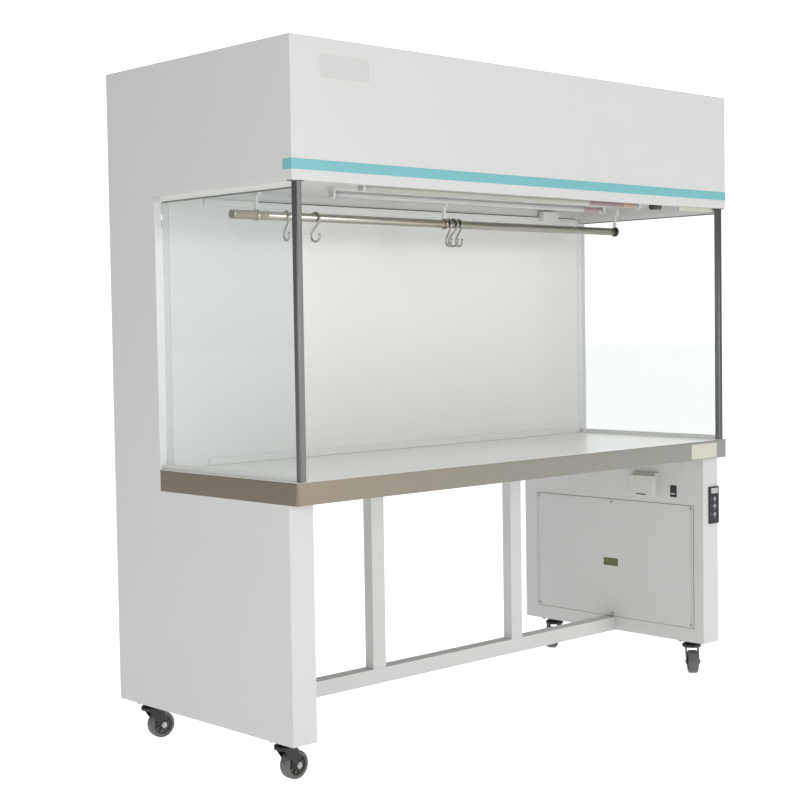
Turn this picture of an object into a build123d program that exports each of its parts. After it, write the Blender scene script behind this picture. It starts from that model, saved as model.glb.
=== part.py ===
from build123d import *

import os
from math import asin, cos, degrees, radians, sin

# A two-place horizontal laminar flow clean bench. Two fans in the head draw room air through a
# prefilter, press it into the plenum behind the work chamber and out through HEPA filters, across
# the worktop towards the user. Millimetres; +X right, +Y to the rear, +Z up, origin on the floor
# under the middle of the bench.

# ------------------------------------------------------------------ driving dimensions
# Cabinet
bench_width = 1800.0
cabinet_depth = 808.0
bench_height = 1865.0
head_height = 353.0
sheet = 1.5  # folded, painted steel
chamber_depth = 585.0  # from the head's front to the wall that the air comes out of
top_edge_radius = 1.0

# Coloured strip around the head
stripe_rise = 26.0  # from the head's bottom edge
stripe_height = 26.0
stripe_wrap = 34.0
stripe_proud = 1.0

# Tray in the underside of the head, which the lamps and the rod hang from
tray_depth = 23.0
tray_side_margin = 40.0
tray_front_margin = 24.0

# Worktop
worktop_top = 770.0
worktop_edge = 58.0
worktop_corner_radius = 6.0
worktop_lip_radius = 3.0
worktop_return = 20.0
stiffener_width = 60.0
stiffener_count = 4
stiffener_margin = 50.0

# Pedestals and the frame between them
caster_height = 105.0
pedestal_width = 80.0
pedestal_setback = 35.0
pedestal_corner_radius = 2.0
frame_tube = 45.0
frame_wall = 2.0
upright_width = 50.0
upright_depth = 35.0
upright_spacing = 595.0
upright_offset = 26.5  # the pair stands to the right of the bench's middle

# Side glass with its channels and posts
glass_thickness = 5.0
glass_inset = 24.0  # from the side of the bench to the middle of the glass
glass_clearance = 0.1
channel_width = 13.0
channel_wall = 2.0
top_channel_height = 17.0
bottom_channel_height = 13.0
post_width = 20.0
post_depth = 16.0
post_setback = 3.0
post_slot_depth = 6.0
post_bevel = 4.0

# Air path
diffuser_margin = 48.0  # from the side of the bench
diffuser_rail_margin = 165.0
diffuser_rail_height = 20.0
diffuser_rail_depth = 8.0
filter_count = 2
filter_side_margin = 70.0
filter_rise = 20.0  # from the worktop
filter_headroom = 22.0  # to the head's bottom edge
filter_depth = 80.0
filter_frame = 20.0
pleat_pitch = 60.0
pleat_inset = 8.0
pleat_thickness = 2.0
prefilter_length = 1300.0
prefilter_width = 420.0
prefilter_thickness = 20.0
prefilter_setback = 343.5  # setbacks are from the head's front to the middle of the piece
intake_slot_count = 30
intake_slot_pitch = 42.0
intake_slot_width = 24.0
intake_slot_length = 380.0

# Fans
fan_spacing = 900.0
fan_setback = 383.5
scroll_low_radius = 125.0
scroll_high_radius = 160.0
scroll_width = 170.0
scroll_tongue_drop = 60.0
inlet_radius = 80.0
impeller_radius = 110.0
impeller_width = 140.0
blade_count = 12
blade_depth = 18.0
blade_thickness = 2.5
blade_lean = 35.0
impeller_disc = 3.0
impeller_hub_radius = 20.0
impeller_hub_width = 36.0
shaft_radius = 7.0
shaft_depth = 30.0
shaft_end_gap = 1.0
blade_inset = 1.0  # from the blades' tips to the disc's rim
running_clearance = 0.05
motor_radius = 60.0
motor_length = 100.0
motor_gap = 14.0
motor_foot_width = 70.0

# Lamps
lamp_length = 1149.0
lamp_radius = 8.0
lamp_drop = 20.0  # from the tray to the middle of the lamp
batten_width = 30.0
batten_height = 10.0
holder_length = 8.0
holder_width = 24.0
holder_rim = 1.0
work_lamp_setback = 103.5
uv_lamp_setback = 303.5
uv_lamp_x = 70.0
starter_radius = 10.5
starter_length = 40.0
starter_base = 12.0
starter_drop = 19.5
starter_margin = 230.0  # from the side of the bench

# Rod and hooks
rod_radius = 12.0
rod_wall = 1.5
rod_setback = 378.5
rod_drop = 57.0  # from the head's bottom edge
rod_left_margin = 108.0  # margins are from the side of the bench
rod_right_margin = 87.0
hanger_left_margin = 189.0
hanger_right_margin = 92.0
hanger_block = 26.0
hanger_stem = 8.0
hanger_ring = 4.0
rod_cap_thickness = 3.0
hook_wire_radius = 2.5
hook_wire_sides = 8
hook_play = 2.0  # how much wider the bend is than the rod
hook_height = 86.0
hook_places = ((-608.0, 14.0), (-507.0, -8.0), (18.0, 16.0), (38.0, -12.0), (62.0, 10.0))
hook_mouth_angle = 15.0

# Controls on the right pedestal
panel_width = 50.0
panel_height = 120.0
panel_proud = 7.0
panel_margin = 27.0  # from the side of the bench to the middle of the panel
panel_z = 555.0
display_width = 32.0
display_height = 13.0
display_z = 602.0
display_thickness = 2.0
button_radius = 4.5
button_heights = (576.0, 553.0, 526.0)
button_proud = 1.5
button_clearance = 0.2
button_collar = 1.2
button_collar_height = 1.5
panel_wall = 2.0
switch_width = 24.0
switch_height = 38.0
switch_depth = 22.0
switch_bezel = 3.0
switch_proud = 2.0
switch_setback = 117.5  # setbacks here are from the pedestal's front
switch_z = 596.0
rocker_tilt = 8.0
rocker_clearance = 0.8
rocker_depth = 9.0
rocker_pin_radius = 1.5
rocker_pin_length = 0.8
socket_width = 100.0
socket_height = 76.0
socket_setback = 227.5
socket_z = 615.0
socket_base_thickness = 8.0
lid_depth = 22.0
lid_wall = 2.0
lid_notch_width = 40.0
lid_notch_height = 5.0
hinge_pin_radius = 1.5
hinge_knuckle_radius = 4.0
hinge_end_width = 16.0
lid_gap = 0.3
lid_edge_radius = 3.0
outlet_spacing = 44.0
outlet_drop = 6.0
pin_slot_width = 2.2
pin_slot_length = 7.0
pin_slot_spread = 8.0
pin_slot_angle = 30.0
pin_slot_depth = 6.0

# Access panel on the right pedestal
access_setback = 39.5
access_rear_margin = 59.5
access_low = 152.0
access_high = 552.0
access_thickness = 1.5
access_overlap = 20.0
screw_radius = 5.0
screw_head = 2.0
screw_shank = 2.0
screw_inset = 9.0

# Inside the right pedestal
controller_size = (52.0, 160.0, 120.0)
controller_setback = 308.5
controller_z = 315.0
gland_rear_margin = 224.5
gland_radius = 11.0
gland_drop = 16.0
gland_neck_radius = 8.0
gland_nut_height = 5.0

# Casters
wheel_radius = 37.5
wheel_width = 32.0
wheel_chamfer = 5.0
wheel_recess = 4.0
wheel_recess_radius = 25.0
hub_radius = 11.0
hub_width = 36.0
axle_radius = 4.0
axle_head_radius = 7.5
axle_head_height = 4.0
axle_clearance = 0.05
caster_trail = 26.0
fork_leg = 2.5
fork_gap = 0.3  # between the hub's end and the fork
fork_leg_half = 21.0
fork_shoulder = 2.0
fork_shoulder_drop = 14.0
crown_radius = 31.0
crown_thickness = 3.0
crown_drop = 11.0  # from the bottom of the pedestal to the top of the crown
crown_skirt = 12.0
plate_size = 66.0
plate_thickness = 3.0
race_radius = 22.0
kingpin_radius = 6.0
kingpin_clearance = 0.05
swivel_gap = 0.3
kingpin_nut_radius = 10.0
kingpin_nut_height = 4.0
caster_side_inset = 40.0
caster_setback = 78.5
caster_rear_margin = 98.5
caster_bolt_radius = 5.0
caster_bolt_shank = 3.0
caster_bolt_head = 3.0
caster_bolt_pitch = 52.0
# ------------------------------------------------------------------ derived places
half_width = bench_width / 2
inner_x = half_width - sheet
glass_x = half_width - glass_inset
pedestal_inner = half_width - pedestal_width
panel_x = half_width - panel_margin

front_y = (stripe_proud - cabinet_depth) / 2  # the strip stands proud of the front
rear_y = front_y + cabinet_depth
wall_y = front_y + chamber_depth  # face of the chamber's rear wall
prefilter_y = front_y + prefilter_setback
fan_y = front_y + fan_setback
work_lamp_y = front_y + work_lamp_setback
uv_lamp_y = front_y + uv_lamp_setback
starter_x = half_width - starter_margin
rod_y = front_y + rod_setback
pedestal_y = front_y + pedestal_setback
pedestal_mid_y = (pedestal_y + rear_y) / 2
switch_y = pedestal_y + switch_setback
socket_y = pedestal_y + socket_setback
access_front = pedestal_y + access_setback
access_rear = rear_y - access_rear_margin
controller_y = pedestal_y + controller_setback
gland_y = rear_y - gland_rear_margin
caster_front_y = pedestal_y + caster_setback
caster_rear_y = rear_y - caster_rear_margin

pedestal_top = worktop_top - worktop_edge
head_bottom = bench_height - head_height
stripe_low = head_bottom + stripe_rise
tray_ceiling = head_bottom + tray_depth
rod_z = head_bottom - rod_drop
filter_low = worktop_top + filter_rise
filter_height = head_bottom - filter_headroom - filter_low
filter_width = 2 * (half_width - filter_side_margin) / filter_count

# name, side, where the swivel stands, and the way its wheel trails, in degrees from +X
casters = (
    ("front_left", -1, caster_front_y, 1.0),
    ("rear_left", -1, caster_rear_y, -8.0),
    ("front_right", 1, caster_front_y, 224.0),
    ("rear_right", 1, caster_rear_y, 200.0),
)

os.makedirs("parts", exist_ok=True)


def save(part, label):
    """Label a finished piece and write it to its own STEP file."""
    part.label = label
    export_step(part, f"parts/{label}.step")


def save_pair(left_part, name):
    """Write the left piece, and its mirror image on the right."""
    save(left_part, f"left_{name}")
    with BuildPart() as right:
        mirror(left_part, about=Plane.YZ)
    save(right.part, f"right_{name}")


# ------------------------------------------------------------------ side panels
# One C-shaped sheet a side, from the head down to the pedestal, with a flange turned in under
# the head and another along the chamber's rear wall.
with BuildPart() as side_panel:
    with BuildSketch(Plane.YZ.offset(-half_width)):
        with BuildLine():
            Polyline(
                (front_y + sheet, bench_height - sheet),
                (front_y + sheet, head_bottom),
                (wall_y, head_bottom),
                (wall_y, pedestal_top),
                (pedestal_y, pedestal_top),
                (pedestal_y, caster_height),
                (rear_y, caster_height),
                (rear_y, pedestal_top),
                (rear_y - sheet, pedestal_top),
                (rear_y - sheet, bench_height - sheet),
                close=True,
            )
        make_face()
    extrude(amount=sheet)
    with BuildSketch(Plane.XY.offset(head_bottom)):
        with Locations((-half_width, front_y + tray_front_margin)):
            Rectangle(
                tray_side_margin,
                chamber_depth - tray_front_margin + sheet,
                align=(Align.MIN, Align.MIN),
            )
    extrude(amount=sheet)
    with BuildSketch(Plane.XZ.offset(-wall_y - sheet)):
        with Locations((-half_width, worktop_top)):
            Rectangle(glass_inset, head_bottom - worktop_top, align=(Align.MIN, Align.MIN))
    extrude(amount=sheet)
save_pair(side_panel.part, "side_panel")

# ------------------------------------------------------------------ head
with BuildPart() as head_fascia:
    with BuildSketch(Plane.YZ):
        with BuildLine():
            Polyline(
                (front_y, bench_height - sheet),
                (front_y, head_bottom),
                (front_y + tray_front_margin, head_bottom),
                (front_y + tray_front_margin, head_bottom + sheet),
                (front_y + sheet, head_bottom + sheet),
                (front_y + sheet, bench_height - sheet),
                close=True,
            )
        make_face()
    extrude(amount=half_width, both=True)
    # the bottom flange stops inside the side panels' own flanges
    with BuildSketch(Plane.XY.offset(head_bottom)):
        with Locations((-half_width, front_y + sheet), (half_width, front_y + sheet)):
            Rectangle(2 * sheet, tray_front_margin, align=(Align.CENTER, Align.MIN))
    extrude(amount=sheet, mode=Mode.SUBTRACT)
save(head_fascia.part, "head_fascia")

with BuildPart() as accent_stripe:
    with BuildSketch(Plane.XY.offset(stripe_low)):
        with Locations((0, front_y - stripe_proud)):
            Rectangle(
                bench_width + 2 * stripe_proud,
                stripe_wrap + stripe_proud,
                align=(Align.CENTER, Align.MIN),
            )
        with Locations((0, front_y)):
            Rectangle(
                bench_width,
                stripe_wrap,
                align=(Align.CENTER, Align.MIN),
                mode=Mode.SUBTRACT,
            )
    extrude(amount=stripe_height)
save(accent_stripe.part, "accent_stripe")

with BuildPart() as top_cover:
    with BuildSketch(Plane.XY.offset(bench_height - sheet)):
        with Locations((0, (front_y + rear_y) / 2)):
            Rectangle(bench_width, cabinet_depth)
        with Locations((0, prefilter_y)):
            with GridLocations(intake_slot_pitch, 0, intake_slot_count, 1):
                Rectangle(intake_slot_width, intake_slot_length, mode=Mode.SUBTRACT)
    extrude(amount=sheet)
    chamfer(
        top_cover.faces().sort_by(Axis.Z)[-1].outer_wire().edges(),
        length=min(top_edge_radius, sheet / 2),
    )
save(top_cover.part, "top_cover")

with BuildPart() as prefilter:
    with BuildSketch(Plane.XY.offset(bench_height - sheet)):
        with Locations((0, prefilter_y)):
            Rectangle(prefilter_length, prefilter_width)
    extrude(amount=-prefilter_thickness)
save(prefilter.part, "prefilter")

with BuildPart() as ceiling_tray:
    with BuildSketch(Plane.XY.offset(head_bottom)):
        with Locations((0, front_y + tray_front_margin)):
            Rectangle(
                2 * (half_width - tray_side_margin),
                chamber_depth - tray_front_margin,
                align=(Align.CENTER, Align.MIN),
            )
    extrude(amount=tray_depth + sheet)
    offset(
        amount=-sheet,
        openings=ceiling_tray.faces().sort_by(Axis.Z)[0],
        kind=Kind.INTERSECTION,
    )
save(ceiling_tray.part, "ceiling_tray")

# ------------------------------------------------------------------ plenum and filters
with BuildPart() as rear_panel:
    with BuildSketch(Plane.YZ):
        with BuildLine():
            Polyline(
                (rear_y, bench_height - sheet),
                (rear_y, pedestal_top),
                (wall_y, pedestal_top),
                (wall_y, pedestal_top + sheet),
                (rear_y - sheet, pedestal_top + sheet),
                (rear_y - sheet, bench_height - sheet),
                close=True,
            )
        make_face()
    extrude(amount=inner_x, both=True)
    # the back face reaches over the side panels' edges
    with BuildSketch(Plane.XZ.offset(-rear_y)):
        with Locations((0, pedestal_top)):
            Rectangle(
                bench_width,
                bench_height - sheet - pedestal_top,
                align=(Align.CENTER, Align.MIN),
            )
    extrude(amount=sheet)
save(rear_panel.part, "rear_panel")

# The fans stand on the tray, so their outlets and the filters' opening are in one wall.
fan_z = tray_ceiling + sheet + scroll_high_radius
outlet_top = fan_z - scroll_tongue_drop
outlet_height = outlet_top - (fan_z - scroll_high_radius)
filter_wall_y = wall_y + sheet
filter_high = filter_low + filter_height
with BuildPart() as filter_wall:
    with BuildSketch(Plane.XZ.offset(-filter_wall_y)):
        with Locations((0, pedestal_top + sheet)):
            Rectangle(
                2 * inner_x,
                bench_height - pedestal_top - 2 * sheet,
                align=(Align.CENTER, Align.MIN),
            )
        with Locations((0, filter_low + filter_frame)):
            Rectangle(
                filter_count * filter_width - 2 * filter_frame,
                filter_height - 2 * filter_frame,
                align=(Align.CENTER, Align.MIN),
                mode=Mode.SUBTRACT,
            )
        with Locations((0, (fan_z - scroll_high_radius + outlet_top) / 2)):
            with GridLocations(fan_spacing, 0, 2, 1):
                Rectangle(
                    scroll_width - 2 * sheet, outlet_height - 2 * sheet, mode=Mode.SUBTRACT
                )
    extrude(amount=-sheet)
save(filter_wall.part, "filter_wall")

filter_plane = Plane.XZ.offset(-filter_wall_y - sheet)
filter_centre = (0, (filter_low + filter_high) / 2)
with BuildPart() as hepa_frames:
    with BuildSketch(filter_plane):
        with Locations(filter_centre):
            with GridLocations(filter_width, 0, filter_count, 1):
                Rectangle(filter_width - glass_clearance, filter_height)
                Rectangle(
                    filter_width - 2 * filter_frame,
                    filter_height - 2 * filter_frame,
                    mode=Mode.SUBTRACT,
                )
    extrude(amount=-filter_depth)
save(hepa_frames.part, "hepa_frames")

# A pleated sheet: the zigzag outline seen from above, as high as the frame's opening.
pleat_count = int((filter_width - 2 * filter_frame) // pleat_pitch)
pleat_run = (filter_width - 2 * filter_frame) / (2 * pleat_count)
pleat_front = filter_wall_y + sheet + pleat_inset
pleat_rear = filter_wall_y + sheet + filter_depth - pleat_inset - pleat_thickness
zigzag = [
    (i * pleat_run - pleat_run * pleat_count, pleat_front if i % 2 else pleat_rear)
    for i in range(2 * pleat_count + 1)
]
zigzag += [(x, y + pleat_thickness) for x, y in reversed(zigzag)]
with BuildPart() as hepa_media:
    for i in range(filter_count):
        filter_x = (i - (filter_count - 1) / 2) * filter_width
        with BuildSketch(Plane.XY.offset(filter_low + filter_frame)):
            with BuildLine():
                Polyline(*((filter_x + x, y) for x, y in zigzag), close=True)
            make_face()
        extrude(amount=filter_height - 2 * filter_frame)
save(hepa_media.part, "hepa_media")

with BuildPart() as diffuser_panel:
    with BuildSketch(Plane.XZ.offset(-wall_y)):
        with Locations((0, worktop_top)):
            Rectangle(
                2 * (half_width - diffuser_margin),
                head_bottom - worktop_top,
                align=(Align.CENTER, Align.MIN),
            )
    extrude(amount=-sheet)
save(diffuser_panel.part, "diffuser_panel")

with BuildPart() as diffuser_rails:
    with BuildSketch(Plane.XZ.offset(-wall_y)):
        with Locations((0, worktop_top + diffuser_rail_height / 2)):
            Rectangle(2 * (half_width - diffuser_rail_margin), diffuser_rail_height)
        with Locations((0, head_bottom - diffuser_rail_height / 2)):
            Rectangle(2 * (half_width - diffuser_rail_margin), diffuser_rail_height)
    extrude(amount=diffuser_rail_depth)
    chamfer(
        diffuser_rails.faces().filter_by(Axis.Y).group_by(Axis.Y)[0].edges(),
        length=sheet,
    )
save(diffuser_rails.part, "diffuser_rails")


# ------------------------------------------------------------------ fans
def scroll_point(angle):
    """A point on the fan scroll's outline, whose radius grows from its tongue to its floor."""
    growth = angle / 270
    radius = scroll_low_radius + (scroll_high_radius - scroll_low_radius) * growth
    return (fan_y + radius * cos(radians(angle)), fan_z + radius * sin(radians(angle)))


with BuildPart() as blower_housings:
    for fan_x in (-fan_spacing / 2, fan_spacing / 2):
        with BuildSketch(Plane.YZ.offset(fan_x)):
            with BuildLine():
                tongue = (scroll_point(0)[0], outlet_top)
                Line(tongue, scroll_point(0))
                for start in (0, 90, 180):
                    ThreePointArc(
                        scroll_point(start), scroll_point(start + 45), scroll_point(start + 90)
                    )
                Polyline(
                    scroll_point(270),
                    (filter_wall_y, fan_z - scroll_high_radius),
                    (filter_wall_y, outlet_top),
                    tongue,
                )
            make_face()
        extrude(amount=scroll_width / 2, both=True)
    offset(
        amount=-sheet,
        openings=blower_housings.faces().filter_by(Axis.Y).group_by(Axis.Y)[-1],
        kind=Kind.INTERSECTION,
    )
    for fan_x in (-fan_spacing / 2, fan_spacing / 2):
        with BuildSketch(Plane.YZ.offset(fan_x)):
            with Locations((fan_y, fan_z)):
                Circle(inlet_radius)
        extrude(amount=scroll_width, both=True, mode=Mode.SUBTRACT)
save(blower_housings.part, "blower_housings")

motor_near = fan_spacing / 2 - scroll_width / 2 - motor_gap
with BuildPart() as blower_motors:
    for side in (-1, 1):
        with BuildSketch(Plane.YZ.offset(side * motor_near)):
            with Locations((fan_y, fan_z)):
                Circle(motor_radius)
            with Locations((fan_y, tray_ceiling + sheet)):
                Rectangle(
                    motor_foot_width,
                    scroll_high_radius,
                    align=(Align.CENTER, Align.MIN),
                )
        extrude(amount=-side * motor_length)
        with BuildSketch(Plane.YZ.offset(side * motor_near)):
            with Locations((fan_y, fan_z)):
                Circle(shaft_radius + running_clearance)
        extrude(amount=-side * shaft_depth, mode=Mode.SUBTRACT)
save(blower_motors.part, "blower_motors")

for side, name in ((-1, "left"), (1, "right")):
    fan_x = side * fan_spacing / 2
    near_x = side * motor_near
    with BuildPart() as impeller:
        with BuildSketch(Plane.YZ.offset(fan_x - impeller_width / 2)):
            with Locations((fan_y, fan_z)):
                with PolarLocations(impeller_radius - blade_depth / 2 - blade_inset, blade_count):
                    Rectangle(blade_depth, blade_thickness, rotation=blade_lean)
        extrude(amount=impeller_width)
        with BuildSketch(Plane.YZ.offset(fan_x)):
            with Locations((fan_y, fan_z)):
                Circle(impeller_radius)
        extrude(amount=impeller_disc / 2, both=True)
        with BuildSketch(Plane.YZ.offset(fan_x)):
            with Locations((fan_y, fan_z)):
                Circle(impeller_hub_radius)
        extrude(amount=impeller_hub_width / 2, both=True)
        with BuildSketch(Plane.YZ.offset(fan_x)):
            with Locations((fan_y, fan_z)):
                Circle(shaft_radius)
        extrude(amount=near_x - fan_x - side * (shaft_depth - shaft_end_gap))
    save(impeller.part, f"blower_impeller_{name}")

# ------------------------------------------------------------------ lamps
holder_drop = lamp_drop + lamp_radius + holder_rim
lamp_places = ((0.0, work_lamp_y), (uv_lamp_x, uv_lamp_y))
with BuildPart() as lamp_battens:
    for lamp_x, lamp_y in lamp_places:
        with BuildSketch(Plane.XY.offset(tray_ceiling)):
            with Locations((lamp_x, lamp_y)):
                Rectangle(lamp_length + 2 * holder_length, batten_width)
        extrude(amount=-batten_height)
        with BuildSketch(Plane.XY.offset(tray_ceiling - batten_height)):
            with Locations((lamp_x, lamp_y)):
                with GridLocations(lamp_length + holder_length, 0, 2, 1):
                    Rectangle(holder_length, holder_width)
        extrude(amount=-(holder_drop - batten_height))
save(lamp_battens.part, "lamp_battens")

for (lamp_x, lamp_y), name in zip(lamp_places, ("work_lamp_tube", "uv_lamp_tube")):
    with BuildPart() as lamp_tube:
        with BuildSketch(Plane.YZ.offset(lamp_x)):
            with Locations((lamp_y, tray_ceiling - lamp_drop)):
                Circle(lamp_radius)
        extrude(amount=lamp_length / 2, both=True)
    save(lamp_tube.part, name)

with BuildPart() as lamp_starter:
    with BuildSketch(Plane.YZ.offset(starter_x - starter_length / 2)):
        with Locations((work_lamp_y, tray_ceiling - starter_drop)):
            Circle(starter_radius)
    extrude(amount=starter_length)
    with BuildSketch(Plane.XY.offset(tray_ceiling)):
        with Locations((starter_x - starter_length / 2, work_lamp_y)):
            Rectangle(starter_length, 2 * starter_radius)
    extrude(amount=-starter_base)
save(lamp_starter.part, "lamp_starter")

# ------------------------------------------------------------------ rod and hooks
rod_left = rod_left_margin - half_width
rod_right = half_width - rod_right_margin
hanger_places = (hanger_left_margin - half_width, 0.0, half_width - hanger_right_margin)
with BuildPart() as hanging_rod:
    with BuildSketch(Plane.YZ.offset(rod_left)):
        with Locations((rod_y, rod_z)):
            Circle(rod_radius)
            Circle(rod_radius - rod_wall, mode=Mode.SUBTRACT)
    extrude(amount=rod_right - rod_left)
save(hanging_rod.part, "hanging_rod")

with BuildPart() as rod_end_caps:
    for end, outward in ((rod_left, -1), (rod_right, 1)):
        with BuildSketch(Plane.YZ.offset(end)):
            with Locations((rod_y, rod_z)):
                Circle(rod_radius)
        extrude(amount=outward * rod_cap_thickness)
        with BuildSketch(Plane.YZ.offset(end)):
            with Locations((rod_y, rod_z)):
                Circle(rod_radius - rod_wall)
        extrude(amount=-outward * 2 * rod_cap_thickness)
save(rod_end_caps.part, "rod_end_caps")

with BuildPart() as rod_hangers:
    for hanger_x in hanger_places:
        with BuildSketch(Plane.XY.offset(tray_ceiling)):
            with Locations((hanger_x, rod_y)):
                Rectangle(hanger_stem, hanger_block)
        extrude(amount=-hanger_block)
        with BuildSketch(Plane.YZ.offset(hanger_x)):
            with Locations((rod_y, rod_z)):
                Circle(rod_radius + hanger_ring)
                Rectangle(
                    hanger_stem,
                    tray_ceiling - hanger_block - rod_z,
                    align=(Align.CENTER, Align.MIN),
                )
                Circle(rod_radius, mode=Mode.SUBTRACT)
        extrude(amount=hanger_stem / 2, both=True)
save(rod_hangers.part, "rod_hangers")

# An S of two bends joined by the straight line that touches both of them.
hook_bend_radius = rod_radius + hook_play + hook_wire_radius
hook_span = hook_height - 2 * (hook_bend_radius + hook_wire_radius)
hook_top_z = rod_z + rod_radius + hook_wire_radius - hook_bend_radius
hook_low_z = hook_top_z - hook_span
hook_turn = degrees(asin(2 * hook_bend_radius / hook_span))
hook_sweep = 180 + hook_turn + hook_mouth_angle
with BuildPart() as s_hooks:
    for hook_x, hook_yaw in hook_places:
        hook_plane = Plane(
            origin=(hook_x, rod_y, 0),
            x_dir=(sin(radians(hook_yaw)), cos(radians(hook_yaw)), 0),
            z_dir=(cos(radians(hook_yaw)), -sin(radians(hook_yaw)), 0),
        )
        with BuildLine(hook_plane) as hook_path:
            upper = CenterArc((0, hook_top_z), hook_bend_radius, -hook_mouth_angle, hook_sweep)
            lower = CenterArc(
                (0, hook_low_z), hook_bend_radius, 180 - hook_mouth_angle, hook_sweep
            )
            Line(upper @ 1, lower @ 1)
        with BuildSketch(Plane(origin=upper @ 0, z_dir=upper % 0)) as hook_section:
            RegularPolygon(hook_wire_radius, hook_wire_sides)
        sweep(sections=hook_section.sketch, path=hook_path.line)
save(s_hooks.part, "s_hooks")

# ------------------------------------------------------------------ side glass
post_front = front_y + post_setback
post_rear = post_front + post_depth
glass_front = post_rear - post_slot_depth + glass_clearance
glass_low = worktop_top + channel_wall
glass_high = head_bottom - channel_wall
with BuildPart() as side_glass:
    with BuildSketch(Plane.YZ.offset(-glass_x)):
        with Locations((glass_front, glass_low)):
            Rectangle(
                wall_y - glass_front, glass_high - glass_low, align=(Align.MIN, Align.MIN)
            )
    extrude(amount=glass_thickness / 2, both=True)
save_pair(side_glass.part, "glass")

slot_width = glass_thickness + 2 * glass_clearance
with BuildPart() as front_post:
    with BuildSketch(Plane.XY.offset(worktop_top)) as post_section:
        with Locations((-glass_x, (post_front + post_rear) / 2)):
            Rectangle(post_width, post_depth)
        fillet(post_section.vertices().group_by(Axis.Y)[0], radius=post_bevel)
        with Locations((-glass_x, post_rear)):
            Rectangle(
                slot_width,
                post_slot_depth,
                align=(Align.CENTER, Align.MAX),
                mode=Mode.SUBTRACT,
            )
    extrude(amount=head_bottom - worktop_top)
save_pair(front_post.part, "front_post")

with BuildPart() as glass_channels:
    with BuildSketch(Plane.XZ.offset(-post_rear)):
        for edge, height, inward in (
            (worktop_top, bottom_channel_height, 1),
            (head_bottom, top_channel_height, -1),
        ):
            with Locations((-glass_x, edge + inward * height / 2)):
                Rectangle(channel_width, height)
            with Locations((-glass_x, edge + inward * (height + channel_wall) / 2)):
                Rectangle(slot_width, height - channel_wall, mode=Mode.SUBTRACT)
    extrude(amount=-(wall_y - post_rear))
    mirror(about=Plane.YZ)
save(glass_channels.part, "glass_channels")

# ------------------------------------------------------------------ worktop
# A folded pan: skin, edges, and a narrow flange turned in under them.
worktop_blocks = []
for inset in (0, sheet):
    with BuildPart() as block:
        with BuildSketch(Plane.XY.offset(pedestal_top + inset)) as outline:
            with Locations((0, front_y + inset)):
                Rectangle(
                    bench_width - 2 * inset,
                    chamber_depth - inset,
                    align=(Align.CENTER, Align.MIN),
                )
            fillet(
                outline.vertices().group_by(Axis.Y)[0],
                radius=worktop_corner_radius - inset,
            )
        extrude(amount=worktop_edge - 2 * inset)
        fillet(
            block.faces().sort_by(Axis.Z)[-1].edges().sort_by(Axis.Y)[:-1],
            radius=worktop_lip_radius - inset,
        )
    worktop_blocks.append(block.part)
with BuildPart() as worktop:
    add(worktop_blocks[0])
    add(worktop_blocks[1], mode=Mode.SUBTRACT)
    with BuildSketch(Plane.XY.offset(pedestal_top)):
        with Locations((0, front_y + worktop_return)):
            Rectangle(
                bench_width - 2 * worktop_return,
                chamber_depth,
                align=(Align.CENTER, Align.MIN),
            )
    extrude(amount=sheet, mode=Mode.SUBTRACT)
save(worktop.part, "worktop")

# Channels under the skin, which carry it from one pedestal to the other.
stiffener_height = worktop_edge - 2 * sheet
stiffener_pitch = (chamber_depth - 2 * stiffener_margin - stiffener_width) / (
    stiffener_count - 1
)
with BuildPart() as worktop_stiffeners:
    with BuildSketch(Plane.YZ):
        for i in range(stiffener_count):
            near = front_y + stiffener_margin + i * stiffener_pitch
            with Locations((near, pedestal_top + sheet)):
                Rectangle(stiffener_width, stiffener_height, align=(Align.MIN, Align.MIN))
            with Locations((near + sheet, pedestal_top + sheet)):
                Rectangle(
                    stiffener_width - 2 * sheet,
                    stiffener_height - sheet,
                    align=(Align.MIN, Align.MIN),
                    mode=Mode.SUBTRACT,
                )
    extrude(amount=inner_x - worktop_corner_radius, both=True)
save(worktop_stiffeners.part, "worktop_stiffeners")

# ------------------------------------------------------------------ pedestals and their frame
caster_places = [(side * (half_width - caster_side_inset), y) for _, side, y, _ in casters]
with BuildPart() as pedestal:
    with BuildSketch(Plane.XY.offset(caster_height)):
        with Locations((-inner_x, pedestal_y)):
            Rectangle(
                pedestal_width - sheet,
                rear_y - pedestal_y,
                align=(Align.MIN, Align.MIN),
            )
    extrude(amount=pedestal_top - caster_height)
    fillet(
        pedestal.edges().filter_by(Axis.Z).group_by(Axis.X)[-1],
        radius=pedestal_corner_radius,
    )
    offset(
        amount=-sheet,
        openings=[pedestal.faces().sort_by(Axis.X)[0], pedestal.faces().sort_by(Axis.Z)[-1]],
    )
    with BuildSketch(Plane.XY.offset(caster_height)):
        for caster_x, caster_y in caster_places[:2]:
            with Locations((caster_x, caster_y)):
                with GridLocations(caster_bolt_pitch, caster_bolt_pitch, 2, 2):
                    Circle(caster_bolt_shank)
    extrude(amount=sheet, mode=Mode.SUBTRACT)
save(pedestal.part, "left_pedestal")

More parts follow.
